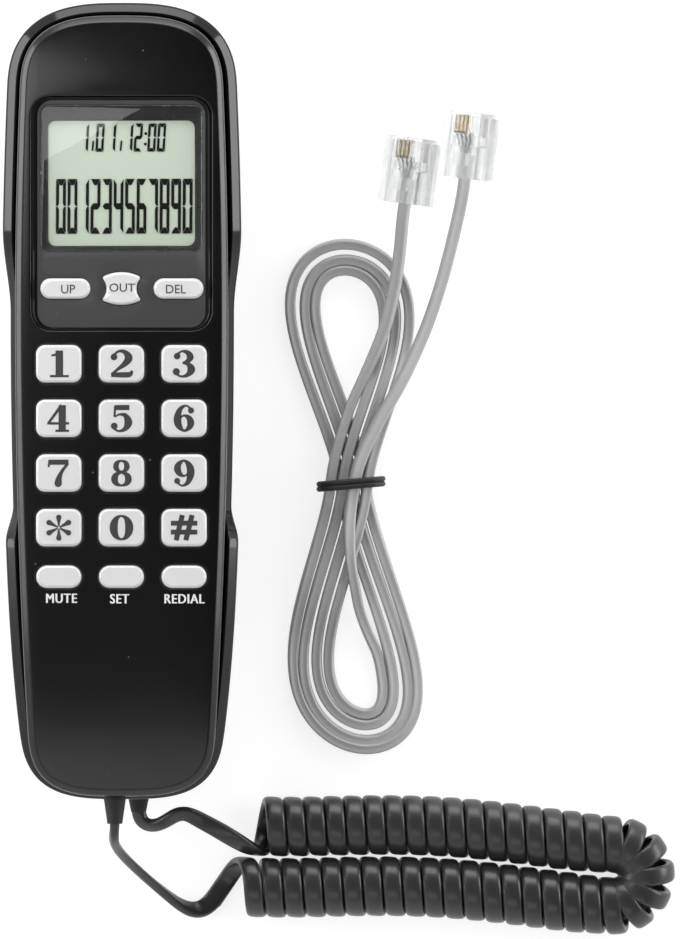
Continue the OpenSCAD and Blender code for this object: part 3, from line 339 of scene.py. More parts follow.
def quarter(*degrees):
    """A quarter round at some angles: how much is done, 1 minus the cosine, and left, 1 minus the sine."""
    a = np.radians(degrees)
    return list(zip(1 - np.cos(a), 1 - np.sin(a)))


def disc(r, place, n=32):
    """A circle as a closed line, counter-clockwise."""
    a = np.linspace(0, 2 * np.pi, n, endpoint=False)
    return np.column_stack([place[0] + r * np.cos(a), place[1] + r * np.sin(a)])


def moulded_group():
    """Moulded plastic: a fine even grain, slow patches of polish, and a few specks of dust."""
    group = bpy.data.node_groups.new("moulded_skin", "ShaderNodeTree")
    for name, value in (("Grain scale", 2500.0), ("Patch scale", 40.0), ("Speck scale", 700.0)):
        group.interface.new_socket(name, in_out="INPUT", socket_type="NodeSocketFloat").default_value = value
    for name in ("Height", "Patch", "Speck"):
        group.interface.new_socket(name, in_out="OUTPUT", socket_type="NodeSocketFloat")
    ins = shader(group, "NodeGroupInput").outputs
    place = shader(group, "ShaderNodeTexCoord").outputs["Object"]
    grain = shader(group, "ShaderNodeTexNoise", {"Vector": place, "Scale": ins["Grain scale"], "Detail": 2.0})
    patch = shader(group, "ShaderNodeTexNoise", {"Vector": place, "Scale": ins["Patch scale"], "Detail": 4.0})
    speck = shader(group, "ShaderNodeTexVoronoi", {"Vector": place, "Scale": ins["Speck scale"]})
    small = ranged(group, speck.outputs["Distance"], 0.06, 0.14, 1.0, 0.0)
    chance = shader(group, "ShaderNodeSeparateColor", {"Color": speck.outputs["Color"]})
    rare = worked(group, "GREATER_THAN", chance.outputs["Red"], 0.985)
    few = worked(group, "MULTIPLY", rare, small)
    shader(group, "NodeGroupOutput", {"Height": grain, "Patch": patch, "Speck": few})
    return group


moulded_skin = moulded_group()
dust_grey = (0.4, 0.4, 0.4, 1)


def moulded(name, dark, light, polish, bump=0.1, grain=1500.0, dust=0.0, **constant):
    """Moulded plastic: colour between dark and light and roughness between two values by patch, grain as
    bump, and specks of pale dust."""
    made, tree = blank_material(name)
    skin = shader(tree, "ShaderNodeGroup", {"Grain scale": grain}, node_tree=moulded_skin)
    patch = skin.outputs["Patch"]
    tone = shader(tree, "ShaderNodeMix", {0: patch, 6: (*dark, 1), 7: (*light, 1)}, data_type="RGBA")
    amount = worked(tree, "MULTIPLY", skin.outputs["Speck"], dust)
    dusty = shader(tree, "ShaderNodeMix", {0: amount, 6: tone.outputs[2], 7: dust_grey}, data_type="RGBA")
    rough = ranged(tree, patch, 0.3, 0.7, *polish)
    grains = {"Height": skin.outputs["Height"], "Strength": bump, "Distance": 0.0001}
    normal = shader(tree, "ShaderNodeBump", grains)
    sockets = {"Base Color": dusty.outputs[2], "Roughness": rough, "Normal": normal, **constant}
    body = shader(tree, "ShaderNodeBsdfPrincipled", sockets)
    shader(tree, "ShaderNodeOutputMaterial", {"Surface": body})
    return made


cradle_black = moulded("cradle_black", (0.006, 0.006, 0.0065), (0.009, 0.009, 0.0095), (0.08, 0.15), 0.03,
                       700.0, 0.3, **{"Specular IOR Level": 0.36})
rim = rim_top - rim_dip * dip(ring_v)
well = well_floor + well_rise * dip(ring_v)
wall = wall_thick - wall_dip * dip(ring_v)
skirt, floor_thick, foot, foot_round, well_round = 2.0, 1.85, 0.8, 0.6, 1.0
socket_low, socket_mid, socket_high, socket_half = 2.75, 7.0, 11.1, 6.3
bevel_top, lip_drop, lip_share = 2.6, 0.35, 0.2
rim_profile = [(0.01, 2.0), (0.025, 1.7), (0.05, 1.5), (0.09, 1.36), (0.26, 1.04), (0.43, 0.72), (0.60, 0.40),
               (0.71, 0.19), (0.77, 0.06), (0.82, 0.0)]
rounding = quarter(20, 40, 60, 75, 90)

heights = (well - floor_thick, socket_high, socket_mid, socket_low, foot)
rows = [loop(pocket(0) + wall - skirt, z) for z in heights]
rows.append(loop(pocket(foot) + wall - foot_round, foot))
for done, left in quarter(30, 60, 90):
    rows.append(loop(pocket(foot + foot_round) + wall - foot_round * left, foot + foot_round * done))
rows += [loop(pocket(z) + wall, z) for z in (socket_low, socket_mid, socket_high)]
for part in (0.25, 0.5, 0.75, 1.0):
    z = socket_high + (rim - bevel_top - socket_high) * part
    rows.append(loop(pocket(z) + wall, z))
for inward, drop in rim_profile:
    rows.append(loop(pocket(rim - drop) + wall * (1 - inward), rim - drop))
for done, left in rounding:
    rows.append(loop(pocket(rim) + lip_share * wall * left, rim - lip_drop * done))
for part in (0.33, 0.66, 1.0):
    z = rim - lip_drop + (well + well_round - rim + lip_drop) * part
    rows.append(loop(pocket(z), z))
for done, left in rounding:
    rows.append(loop(pocket(well + well_round) - well_round * done, well + well_round * left))

# The rows of the socket's window, on the inside and the outside of the end wall.
inner_top, inner_low, outer_low, outer_top = 1, 3, 9, 11
socket_cols = np.where((ring_v > 0) & (np.abs(ring_x + np.roll(ring_x, -1)) < 2 * socket_half))[0]
faces = band_faces(len(rows), ring_n)
row, col = faces[:, 0] // ring_n, faces[:, 0] % ring_n
cut = np.isin(row, [*range(inner_top, inner_low), *range(outer_low, outer_top)])
faces = faces[~(cut & np.isin(col, socket_cols))].tolist()
for outer, inner in ((outer_low, inner_low), (outer_top, inner_top)):
    for k in socket_cols:
        a, b = outer * ring_n + k, inner * ring_n + k
        faces.append((a, a + 1, b + 1, b))
for up in range(outer_top - outer_low):
    for k in (socket_cols[0], socket_cols[-1] + 1):
        a, b = (outer_low + up) * ring_n + k, (inner_low - up) * ring_n + k
        faces.append((a, a + ring_n, b - ring_n, b))
plunger_hole = disc(3.06, (0.0, -4.0), 48)
saddle_top = well_floor + well_rise
tub = [(rows, faces), sheet(rows[-1], [plunger_hole], 3.0, saddle),
       sheet(rows[0], [plunger_hole], 3.0, saddle, floor_thick, up=False),
       joined(stacked([(plunger_hole, saddle_top), (plunger_hole, saddle_top - floor_thick)]))]
cradle = put("cradle", tub, cradle_black, "base")
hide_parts("base_cradle")


# Base plate, feet, screws and the hook parts.
# The plate is a satin black moulding that drops in from below, held by four plated screws, with four glued
# rubber feet. Above it sit the line socket, the hook board with its switch, and a sprung plunger. The pieces
# hidden in the handset get their finishes here too.

def dress(node, material):
    """Gives a CAD piece its finish."""
    nodes[node].data.materials.clear()
    nodes[node].data.materials.append(material)


metal = {"bump": 0.15, "grain": 900.0, "Metallic": 1.0}
plate_black = moulded("plate_black", (0.014, 0.014, 0.015), (0.020, 0.020, 0.021), (0.42, 0.55), 0.35, 1800.0,
                      0.2)
rubber = moulded("rubber", (0.012, 0.012, 0.012), (0.022, 0.021, 0.020), (0.55, 0.75), 0.5)
steel = moulded("screw_steel", (0.45, 0.45, 0.46), (0.58, 0.58, 0.60), (0.22, 0.38), **metal)
gold = moulded("contact_gold", (0.60, 0.47, 0.26), (0.72, 0.58, 0.35), (0.16, 0.30), **{**metal, "bump": 0.1})
brass = moulded("piezo_brass", (0.62, 0.46, 0.20), (0.74, 0.57, 0.28), (0.28, 0.45), **{**metal, "bump": 0.2})
tin = moulded("mic_metal", (0.50, 0.50, 0.51), (0.62, 0.62, 0.63), (0.25, 0.4), **metal)
board = moulded("board_green", (0.010, 0.10, 0.035), (0.016, 0.15, 0.05), (0.30, 0.45), 0.2, 1200.0)
dark_part = moulded("part_grey", (0.03, 0.03, 0.032), (0.045, 0.045, 0.047), (0.45, 0.6), 0.3, 2500.0)
mat_rubber = moulded("mat_grey", (0.10, 0.10, 0.105), (0.14, 0.14, 0.145), (0.55, 0.7), 0.3, 2500.0)
finishes = {"base_plate": plate_black, "line_jack": plate_black, "hook_plunger": plate_black,
            "rubber_feet": rubber, "base_cord_gland": rubber, "handset_cord_gland": rubber,
            "base_screws": steel, "hook_spring": steel, "handset_screws": steel, "jack_contacts": gold,
            "base_board": board, "main_board": board, "hook_switch": dark_part, "receiver": dark_part,
            "keypad_mat": mat_rubber, "zebra_strip": mat_rubber, "microphone": tin, "ringer": brass}
for node, material in finishes.items():
    dress(node, material)


# Handset shells.
# Two black mouldings screwed together from behind. The face is satin with a bevelled edge, and its keys come
# up through close holes whose edges are softened. The back arches over the saddle and has the earpiece's and
# the mouthpiece's holes.

shell_black = moulded("shell_black", (0.003, 0.003, 0.0033), (0.0045, 0.0045, 0.005), (0.20, 0.27),
                      grain=2600.0, dust=0.35)
face_top, crown, crown_at = 40, 0.45, 20
low_fall, low_fall_at, top_fall, top_fall_at = 5, -42, 1.5, 62


def face_height(p):
    """The face's height over points: level along it, dropping as parabolas to both ends, crowned across."""
    v = p[:, 1] - handset_y
    low = low_fall * (np.maximum(low_fall_at - v, 0) / (half_len + low_fall_at)) ** 2
    top = top_fall * (np.maximum(v - top_fall_at, 0) / (half_len - top_fall_at)) ** 2
    return face_top - low - top - crown * (p[:, 0] / crown_at) ** 2


def round_rect(w, h, r, grow=0.0, place=(0.0, 0.0), corner=8):
    """A rectangle with round corners as a closed counter-clockwise line, grown and moved to a place."""
    w, h, r = w + 2 * grow, h + 2 * grow, max(r + grow, 0.02)
    a = np.linspace(0, math.pi / 2, corner)
    arcs = [np.stack([sx * (w / 2 - r) + r * np.cos(a + q), sy * (h / 2 - r) + r * np.sin(a + q)], 1)
            for sx, sy, q in ((1, 1, 0), (-1, 1, math.pi / 2), (-1, -1, math.pi), (1, -1, 1.5 * math.pi))]
    return np.concatenate(arcs) + np.array(place)


key_names = ["key_" + mark for mark in "1 2 3 4 5 6 7 8 9 star 0 hash".split()]
long_names = ["key_mute", "key_set", "key_redial"]
key_size, long_size, insert_hole = (9.1, 7.5, 1.8), (9.0, 4.5, 2.2), (36.0, 46.8, 4.0)
column, row_step, first_row, long_row, insert_y = 12.5, 10.9, 7.4, -35.1, 37.4
key_places = [(column * (k % 3 - 1), first_row - row_step * (k // 3)) for k in range(12)]
long_places = [(column * k, long_row) for k in (-1, 0, 1)]
key_gap, hole_edge, hole_brim = 0.2, 0.28, 0.3
face_holes = [(*key_size, key_gap, p) for p in key_places] + [(*long_size, key_gap, p) for p in long_places]
face_holes.append((*insert_hole, 0.0, (0.0, insert_y)))
parting, side_top, shell_wall, face_thick, corner_drop = 27, 1.75, 1.8, 2.2, 4.0
bevel_profile = [(0.01, 1.4), (0.04, 1.2), (0.10, 1.0), (0.18, 0.88), (0.45, 0.67), (0.72, 0.46), (1.0, 0.25),
                 (1.15, 0.14), (1.28, 0.07), (1.42, 0.02), (1.6, 0.0)]


def hole_lines(more):
    """The outlines of the face's holes, opened by some more."""
    return [round_rect(w, h, r, grow + more, p) for w, h, r, grow, p in face_holes]


rows = [loop(0, parting)]
for part in (0.25, 0.5, 0.75, 1.0):
    rows.append(loop(0, parting + (face_height(loop(0, 0)) - side_top - parting) * part))
for back, drop in bevel_profile:
    line = loop(-back, 0)
    line[:, 2] = face_height(line) - drop
    rows.append(line)
edge = rows[-1]
brims = hole_lines(hole_edge + hole_brim)
shell = [joined(rows), sheet(edge, brims, 2.2, face_height)]
softened = quarter(*np.linspace(0, 90, 6))
for (w, h, r, grow, p), brim in zip(face_holes, brims):
    lines = [round_rect(w, h, r, grow + hole_edge * left, p) for done, left in softened]
    top = face_height(lines[0])
    rings = [(brim, face_height(brim))]
    rings += [(line, top - hole_edge * done) for line, (done, left) in zip(lines, softened)]
    rings.append((lines[-1], face_height(lines[-1]) - face_thick))
    shell.append(joined(stacked(rings)))
edge_under = edge - [0, 0, face_thick]
shell.append(sheet(edge_under, hole_lines(0.0), 4.0, face_height, face_thick, up=False))
rows = [edge_under, loop(-shell_wall, edge[:, 2] - corner_drop), loop(-shell_wall, parting), loop(0, parting)]
front_shell = put("front_shell", [*shell, joined(rows)], shell_black, "handset", 40)
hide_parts("handset_front_shell")

back_low, arch_rise, back_thick, back_round, back_tall, back_top = 13.5, 7, 2.0, 4, 3.4, 25
ear_y, ear_hole, mouth_y, mouth_hole, mouth_step, sink = 48.0, 1.0, -61.4, 0.7, 2.4, 2.4


def arch(p):
    """The underside's height over points: low at both ends and raised along the grip."""
    return back_low + arch_rise * dip(p[:, 1] - handset_y)


grille = [disc(ear_hole, (0.0, ear_y), 20)]
for r, count in ((4.0, 6), (8.0, 12)):
    grille += [disc(ear_hole, place, 20) for place in disc(r, (0.0, ear_y), count)]
grille += [disc(mouth_hole, (mouth_step * k, mouth_y), 16) for k in (-1, 0, 1)]
grille += [disc(sink, p, 28) for p in ((-11.4, 63.4), (11.4, 63.4), (-9.6, -65.0), (9.6, -65.0))]
under = back_low + arch_rise * dip(ring_v)
rows = []
for done, left in quarter(*np.linspace(0, 90, 12)):
    z = under + back_tall * done
    rows.append(loop(leaned(ring_v, z) - back_round * left, z))
for part in (0.33, 0.66, 1.0):
    z = under + back_tall + (back_top - under - back_tall) * part
    rows.append(loop(leaned(ring_v, z), z))
tongue = leaned(ring_v, back_top) - shell_wall
rows += [loop(-0.15, parting - 0.2), loop(-0.4, parting), loop(tongue, parting), loop(tongue, back_top)]
for rise, inward in ((3.8, 2.2), (back_thick, 3.4)):
    rows.append(loop(leaned(ring_v, under + rise) - inward, under + rise))
shell = [joined(rows), sheet(rows[0], grille, 2.6, arch, up=False),
         sheet(rows[-1], grille, 2.6, arch, -back_thick)]
shell += [joined(stacked([(line, arch(line) + back_thick), (line, arch(line))])) for line in grille]
back_shell = put("back_shell", shell, shell_black, "handset", 40)
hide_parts("handset_back_shell")


# Display.
# A glossy black insert sits in the face, with a grey panel in it round a clear window and three keys.
# Behind the window a dark frame is printed, and under that lies a reflective liquid crystal glass with black
# segments, its colour painted darker towards its lower end and lighter towards its top as painted shade.

bezel_black = moulded("bezel_black", (0.006, 0.006, 0.0065), (0.009, 0.009, 0.0095), (0.10, 0.16), 0.03,
                      dust=0.2)
panel_grey = moulded("bezel_grey", (0.047, 0.047, 0.049), (0.056, 0.056, 0.058), (0.30, 0.38), 0.08,
                     2200.0, 0.2)
frame_grey = moulded("frame_grey", (0.010, 0.010, 0.0105), (0.015, 0.015, 0.0155), (0.22, 0.30), 0.04, 2200.0)


def clear(name, tint, roughness=0.0, ior=1.49, plain=0.0):
    """Clear plastic: refracts what the eye sees, but for a plain share, and lets light pass straight on."""
    made, tree = blank_material(name)
    sockets = {"Base Color": (*tint, 1), "Roughness": roughness, "IOR": ior, "Transmission Weight": 1.0}
    body = shader(tree, "ShaderNodeBsdfPrincipled", sockets)
    passed = shader(tree, "ShaderNodeBsdfTransparent", {"Color": (*tint, 1)})
    part = worked(tree, "MAXIMUM", any_ray(tree, "Is Shadow Ray", "Is Diffuse Ray"), plain)
    choice = shader(tree, "ShaderNodeMixShader", {0: part, 1: body, 2: passed})
    shader(tree, "ShaderNodeOutputMaterial", {"Surface": choice})
    return made


bow_r, bow_top, waist_r, waist_half, waist_out = 8, 3.3, 3, 4.3, 1.7


def spool(grow):
    """The middle key's outline, counter-clockwise: two bowed ends joined by two waists, all of them arcs."""
    high, far = bow_top + grow - bow_r, waist_half + waist_out + grow
    t = np.linspace(0, 1.5, 3000)
    reach = np.hypot(far - waist_r * np.cos(t), waist_r * np.sin(t) - high) - bow_r
    stop = t[np.argmax(reach > 0)]
    waist = np.linspace(-stop, stop, 17)
    right = np.column_stack([far - waist_r * np.cos(waist), waist_r * np.sin(waist)])
    bow = np.linspace(right[-1, 0], -right[-1, 0], 15)[1:-1]
    top = np.column_stack([bow, high + np.sqrt(bow_r ** 2 - bow ** 2)])
    return np.concatenate([right, top, -right, -top])


def between(a, b, t):
    """A rounded rectangle part of the way between two, each given as width, height, radius and middle."""
    w, h, r, y = (1 - t) * np.array(a) + t * np.array(b)
    return round_rect(w, h, r, 0.0, (0.0, y), 10)


insert, hollow = (35.7, 46.5, 3.85, insert_y), (33.4, 45.3, 3.0, 37.3)
insert_foot, band_side, band_in, panel_top = 38.6, 39.3, 38.8, 38.95
outer_share, outer_rise, inner_share, inner_fall = 0.14, 0.2, 0.26, 0.7
profile = [(0, insert_foot), (0, band_side)]
profile += [(outer_share * done, band_side + outer_rise * (1 - left)) for done, left in quarter(30, 60, 90)]
profile += [(outer_share + inner_share * done, band_in + inner_fall * left)
            for done, left in quarter(12, 26, 42, 60, 78, 90)]
profile += [(1, band_in), (1, insert_foot)]
rings = stacked([(between(insert, hollow, t), z) for t, z in profile])
band = put("bezel_band", [joined(rings, True)], bezel_black, "handset")
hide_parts("display_bezel")

window_size, window_at = (32.2, 29.2, 1.6), (0.0, 44.4)
up_at, out_at, del_at, stadium = (-11.2, 22.4), (0.0, 22.4), (11.4, 22.4), (10.0, 4.1, 2.04)


def openings(window_gap, gap):
    """The outlines of the panel's openings: the window's and those of the three keys, each with a gap."""
    sides = [round_rect(*stadium, gap, place) for place in (up_at, del_at)]
    return [round_rect(*window_size, window_gap, window_at), *sides, spool(gap) + out_at]


narrow, wide, panel_edge, edge_drop = openings(0.1, 0.15), openings(0.18, 0.29), 0.14, 0.07
foot_share, top_share = 0.94, 0.96
flat, triangles = pierced(between(insert, hollow, top_share), wide, 2.5)
panel = [(np.column_stack([flat, np.full(len(flat), panel_top)]), triangles)]
for line, brim in zip(narrow, wide):
    rings = [(line + (brim - line) * left, panel_top - panel_edge * done)
             for done, left in quarter(0, 30, 60, 90)]
    rings.append((line, insert_foot))
    panel.append(joined(stacked(rings)))
profile = [(foot_share, insert_foot), (foot_share, panel_top - edge_drop), (top_share, panel_top)]
panel.append(joined(stacked([(between(insert, hollow, t), z) for t, z in profile])))
flat, triangles = pierced(between(insert, hollow, foot_share), narrow, 4.0)
panel.append((np.column_stack([flat, np.full(len(flat), insert_foot)]), triangles[:, ::-1]))
panel = put("bezel_panel", panel, panel_grey, "handset")


def capped(rows):
    """Closed rows of points joined into a solid with flat ends: points and faces."""
    points, faces = joined(rows)
    n, total = len(rows[0]), len(points)
    return points, [*faces.tolist(), list(range(n))[::-1], list(range(total - n, total))]


lens_clear = clear("lens_clear", (0.97, 0.98, 0.97))
pane_side, pane_edge = 39.25, 0.25
profile = [(0.0, insert_foot), (0.0, pane_side)]
profile += [(-pane_edge * done, pane_side + pane_edge * (1 - left)) for done, left in quarter(30, 60, 90)]
rings = stacked([(round_rect(*window_size, out, window_at), z) for out, z in profile])
pane = put("window", [capped(rings)], lens_clear, "handset")
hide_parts("display_lens")

glass_top, ink_top = 37.72, 37.80
outside, opening, view = (32.1, 29.1, 1.55, 44.4), (30.0, 25.7, 1.9, 43.42), (29.2, 24.9, 1.5, 43.42)
profile = [(view, glass_top), (view, 38.1), (opening, 38.5), (outside, 38.57), (outside, glass_top)]
rings = stacked([(between(line, line, 0), z) for line, z in profile])
surround = put("window_frame", [joined(rings, True)], frame_grey, "handset", 25)

lcd_grey, tree = blank_material("lcd_grey")
skin = shader(tree, "ShaderNodeGroup", node_tree=moulded_skin)
place = shader(tree, "ShaderNodeTexCoord").outputs["Object"]
where = shader(tree, "ShaderNodeSeparateXYZ", {"Vector": place})
# Painted shade: the glass's colour ramps from darker at its lower end to lighter at its top, standing in for
# how light falls across it.
painted_shade_ramp = ranged(tree, where.outputs["Y"], 0.031, 0.056)
tone = shader(tree, "ShaderNodeMix", {0: painted_shade_ramp, 6: (0.53, 0.59, 0.50, 1), 7: (0.62, 0.675, 0.59, 1)},
              data_type="RGBA")
cloud = ranged(tree, skin.outputs["Patch"], 0.3, 0.7, 0.3, 0.38)
body = shader(tree, "ShaderNodeBsdfPrincipled", {"Base Color": tone.outputs[2], "Roughness": cloud})
shader(tree, "ShaderNodeOutputMaterial", {"Surface": body})
dress("lcd_panel", lcd_grey)


def prism(line, low, high):
    """A flat outline as a plate between two heights: points and faces."""
    return capped(stacked([(line, low), (line, high)]))


lit_strokes = {"0": "abcdef", "1": "bc", "2": "abged", "3": "abgcd", "4": "fgbc", "5": "afgcd", "6": "afgedc",
               "7": "abc", "8": "abcdefg", "9": "abcdfg"}


def segments(figure, x, y, w, h, a, b, slant):
    """The strokes of a seven-segment figure as outlines: w wide, h tall, uprights a wide and bars b tall."""
    gap, mid = 0.09, h / 2
    right = np.array([[w, h - gap], [w, mid + gap], [w - a * 0.6, mid + gap], [w - a, mid + b * 0.5],
                      [w - a, h - b * 0.8 - gap]])
    left = np.column_stack([w - right[:, 0], right[:, 1]])[::-1]
    top = np.array([[gap, h], [a * 0.9, h - b * 0.75], [a * 1.3, h - b], [w - a * 1.3, h - b],
                    [w - a * 0.9, h - b * 0.75], [w - gap, h]])
    middle = np.array([[gap, mid], [a * 0.9, mid - b / 2], [w - a * 0.9, mid - b / 2], [w - gap, mid],
                       [w - a * 0.9, mid + b / 2], [a * 0.9, mid + b / 2]])
    below = {key: (line * [1, -1] + [0, h])[::-1] for key, line in (("c", right), ("e", left), ("d", top))}
    every = {"a": top, "b": right, "f": left, "g": middle, **below}
    lines = [every[key] for key in lit_strokes[figure]]
    return [line + np.column_stack([x + slant * line[:, 1], np.full(len(line), y)]) for line in lines]


segment_black = moulded("segment_black", (0.003, 0.003, 0.003), (0.005, 0.005, 0.005), (0.45, 0.55), 0.05,
                        **{"Specular IOR Level": 0.1})
number_x, number_step, number_row = -13.1, 2.29, (33.4, 1.95, 10.9, 0.60, 1.25, 0.01)
clock_row, point_low, point_high = (49.7, 1.6, 5.6, 0.48, 0.72, 0.06), 49.9, 51.9
clock = (("1", -8.3), ("0", -5.2), ("1", -2.9), ("1", 0.5), ("2", 2.4), ("0", 5.1), ("0", 7.0))
lines = []
for k, figure in enumerate("001234567890"):
    lines += segments(figure, number_x + number_step * k, *number_row)
for figure, x in clock:
    lines += segments(figure, x, *clock_row)
lines += [disc(0.3, place, 12) for place in ((4.75, 51.2), (4.85, 53.3))]
for x in (-5.95, -0.35):
    corners = [(x, point_low), (x + 0.35, point_low), (x + 0.55, point_high), (x + 0.2, point_high)]
    lines.append(np.array(corners))
shown = put("lcd_segments", [prism(line, glass_top, ink_top) for line in lines], segment_black, "handset")


# Keys.
# Each key is a thick clear moulded cap over a white body that carries its printed mark, on a flange that
# stays under the face. The marks are heavy serif figures in dark grey, and the long keys' words are on
# the face.

key_clear = clear("key_clear", (0.985, 0.985, 0.985))
key_white = moulded("key_white", (0.66, 0.66, 0.66), (0.70, 0.70, 0.70), (0.35, 0.45))
mark_grey = moulded("mark_grey", (0.026, 0.026, 0.027), (0.036, 0.036, 0.037), (0.45, 0.55))
label_white = moulded("label_white", (0.72, 0.72, 0.72), (0.78, 0.78, 0.78), (0.4, 0.5))


def unit(a):
    """Vectors at length one."""
    return a / np.linalg.norm(a, axis=-1, keepdims=True)


def through(points, per):
    """A smooth line through points, each span a cubic whose end slopes follow its neighbours."""
    p = np.asarray(points, float)
    q = np.concatenate([p[:1], p, p[-1:]])
    t = (np.arange(per) / per)[:, None, None]
    a, b, c, d = q[:-3], q[1:-2], q[2:-1], q[3:]
    bent = (2 * a - 5 * b + 4 * c - d) * t ** 2 + (3 * b - a - 3 * c + d) * t ** 3
    span = 0.5 * (2 * b + (c - a) * t + bent)
    return np.concatenate([span.transpose(1, 0, 2).reshape(-1, p.shape[1]), p[-1:]])


def stroke(points, low, high):
    """A pen stroke: a smooth line through (x, y, width) points as a plate between two heights. One that ends
    where it starts is a ring."""
    p = np.asarray(points, float)
    closed = np.allclose(p[0], p[-1])
    p = p[:-1] if closed else through(p, 7)
    d = np.roll(p, -1, axis=0) - np.roll(p, 1, axis=0) if closed else np.gradient(p, axis=0)
    d = unit(d[:, :2])
    across = np.column_stack([-d[:, 1], d[:, 0]]) * p[:, 2:] / 2
    left, right = p[:, :2] + across, p[:, :2] - across
    rows = stacked([(right, high), (left, high), (left, low), (right, low)]).transpose(1, 0, 2)
    return joined(rows, True) if closed else capped(rows)


def oval(rx, ry, y, thin, thick):
    """A closed pen stroke round an oval, thick at its sides and thin at its ends."""
    a = np.linspace(0, 2 * np.pi, 73)
    width = thin + (thick - thin) * np.abs(np.cos(a)) ** 1.6
    return np.column_stack([rx * np.cos(a), y + ry * np.sin(a), width])


# Each figure is a list of pen strokes through (x, y, width) points, and a list of (x, y, radius) dots.
six = [(1.1, 1.9, 0.4), (0.3, 2.4, 0.4), (-0.7, 1.7, 0.9), (-1.15, 0, 1.4), (-0.9, -1.4, 1.2),
       (0, -2.35, 0.45), (0.9, -1.7, 1.0), (1.15, -0.8, 1.3), (0.8, 0.1, 1.0), (0, 0.55, 0.4),
       (-0.7, 0.1, 0.4)]
petals = [np.array([math.cos(a), math.sin(a), 1]) for a in np.radians([90, 150, 210, 270, 330, 30])]
figures = {
    "key_1": ([[(0.1, 2.5, 1.4), (0.1, -2.2, 1.4)],
               [(-1.3, 1.55, 0.35), (-0.5, 1.75, 0.5), (0, 2.3, 0.8)],
               [(-1.55, -2.35, 0.42), (1.75, -2.35, 0.42)]], []),
    "key_2": ([[(-1.5, 1.4, 0.5), (-0.6, 2.3, 0.45), (0.5, 2.25, 0.8), (1.25, 1.2, 1.45), (0.7, 0.1, 1.1),
                (-0.7, -1.1, 0.55), (-1.75, -2.05, 0.45)],
               [(-1.8, -2.1, 0.8), (0.4, -2.1, 1.0), (1.5, -2.0, 0.9), (1.85, -1.3, 0.4)]],
              [(-1.3, 1.3, 0.62)]),
    "key_3": ([[(-1.3, 1.7, 0.45), (-0.4, 2.35, 0.4), (0.6, 2.1, 0.9), (1.05, 1.3, 1.3), (0.6, 0.5, 0.8),
                (-0.3, 0.15, 0.3)],
               [(-0.3, 0.15, 0.3), (0.7, -0.1, 0.8), (1.25, -1.1, 1.45), (0.6, -2.1, 0.8), (-0.5, -2.4, 0.4),
                (-1.4, -1.9, 0.45)]], [(-1.2, 1.45, 0.6), (-1.35, -1.5, 0.65)]),
    "key_4": ([[(0.5, 2.5, 0.6), (-1.8, -0.9, 0.45)], [(-2.0, -0.95, 0.45), (1.8, -0.95, 0.45)],
               [(0.6, 2.5, 1.35), (0.6, -2.2, 1.35)], [(-0.6, -2.35, 0.42), (1.8, -2.35, 0.42)]], []),
    "key_5": ([[(-1.1, 2.05, 0.95), (1.4, 2.05, 0.95)], [(-1.1, 2.4, 0.42), (-1.2, 0.3, 0.42)],
               [(-1.2, 0.25, 0.3), (-0.3, 0.75, 0.4), (0.7, 0.5, 0.9), (1.2, -0.8, 1.45), (0.6, -2.0, 0.85),
                (-0.5, -2.4, 0.4), (-1.35, -1.9, 0.4)]], [(-1.25, -1.45, 0.62)]),
    "key_6": ([six], [(1.2, 1.5, 0.55)]),
    "key_7": ([[(-1.6, 2.05, 0.95), (1.7, 2.05, 0.95)], [(-1.65, 2.5, 0.38), (-1.75, 1.1, 0.38)],
               [(1.6, 1.8, 0.5), (0.6, 0.4, 0.6), (0.05, -0.9, 1.0), (-0.1, -1.9, 1.4)]],
              [(-0.1, -1.95, 0.68)]),
    "key_8": ([oval(0.95, 1.02, 1.28, 0.4, 1.05), oval(1.2, 1.2, -1.15, 0.42, 1.25)], []),
    "key_9": ([[(-x, -y, w) for x, y, w in six]], [(-1.2, -1.5, 0.55)]),
    "key_0": ([oval(1.35, 2.2, 0.0, 0.4, 1.5)], []),
    "key_star": ([[way * stop for stop in ((0.2, 0.2, 0.25), (1.2, 1.2, 0.6), (1.95, 1.95, 1.0))]
                  for way in petals],
                 [way * (1.95, 1.95, 0.5) for way in petals]),
    "key_hash": ([[(x - 0.55, -2.4, 0.95), (x + 0.55, 2.4, 0.95)] for x in (-0.85, 0.85)]
                 + [[(-2.3, y, 0.9), (2.3, y, 0.9)] for y in (-0.85, 0.85)], []),
}


def lettering(word, place, size, low, thick, narrow=1.0, apart=1.0):
    """A word in plain capitals as thin plates, centred on a place: points and faces."""
    curve = bpy.data.curves.new(word, "FONT")
    curve.body, curve.size, curve.extrude, curve.resolution_u = word, size, thick / 2, 4
    curve.align_x, curve.align_y, curve.space_character = "CENTER", "CENTER", apart
    holder = bpy.data.objects.new(word, curve)
    bpy.context.scene.collection.objects.link(holder)
    mesh = holder.evaluated_get(bpy.context.evaluated_depsgraph_get()).to_mesh()
    points = np.array([tuple(v.co) for v in mesh.vertices]) * [narrow, 1, 1]
    faces = [list(p.vertices) for p in mesh.polygons]
    bpy.data.objects.remove(holder)
    bpy.data.curves.remove(curve)
    return points + [place[0], place[1], low + thick / 2], faces


cap_foot, flange, flange_tall, shoulder_in, shoulder_tall, cap_crown = 36.75, 0.7, 1, 0.6, 0.7, 0.16
body_foot = 36.9
body_profile = [(-0.14, 0.42), (-0.2, 0.36), (-0.45, 0.36), (-0.5, 0.08), (-0.6, 0.0)]


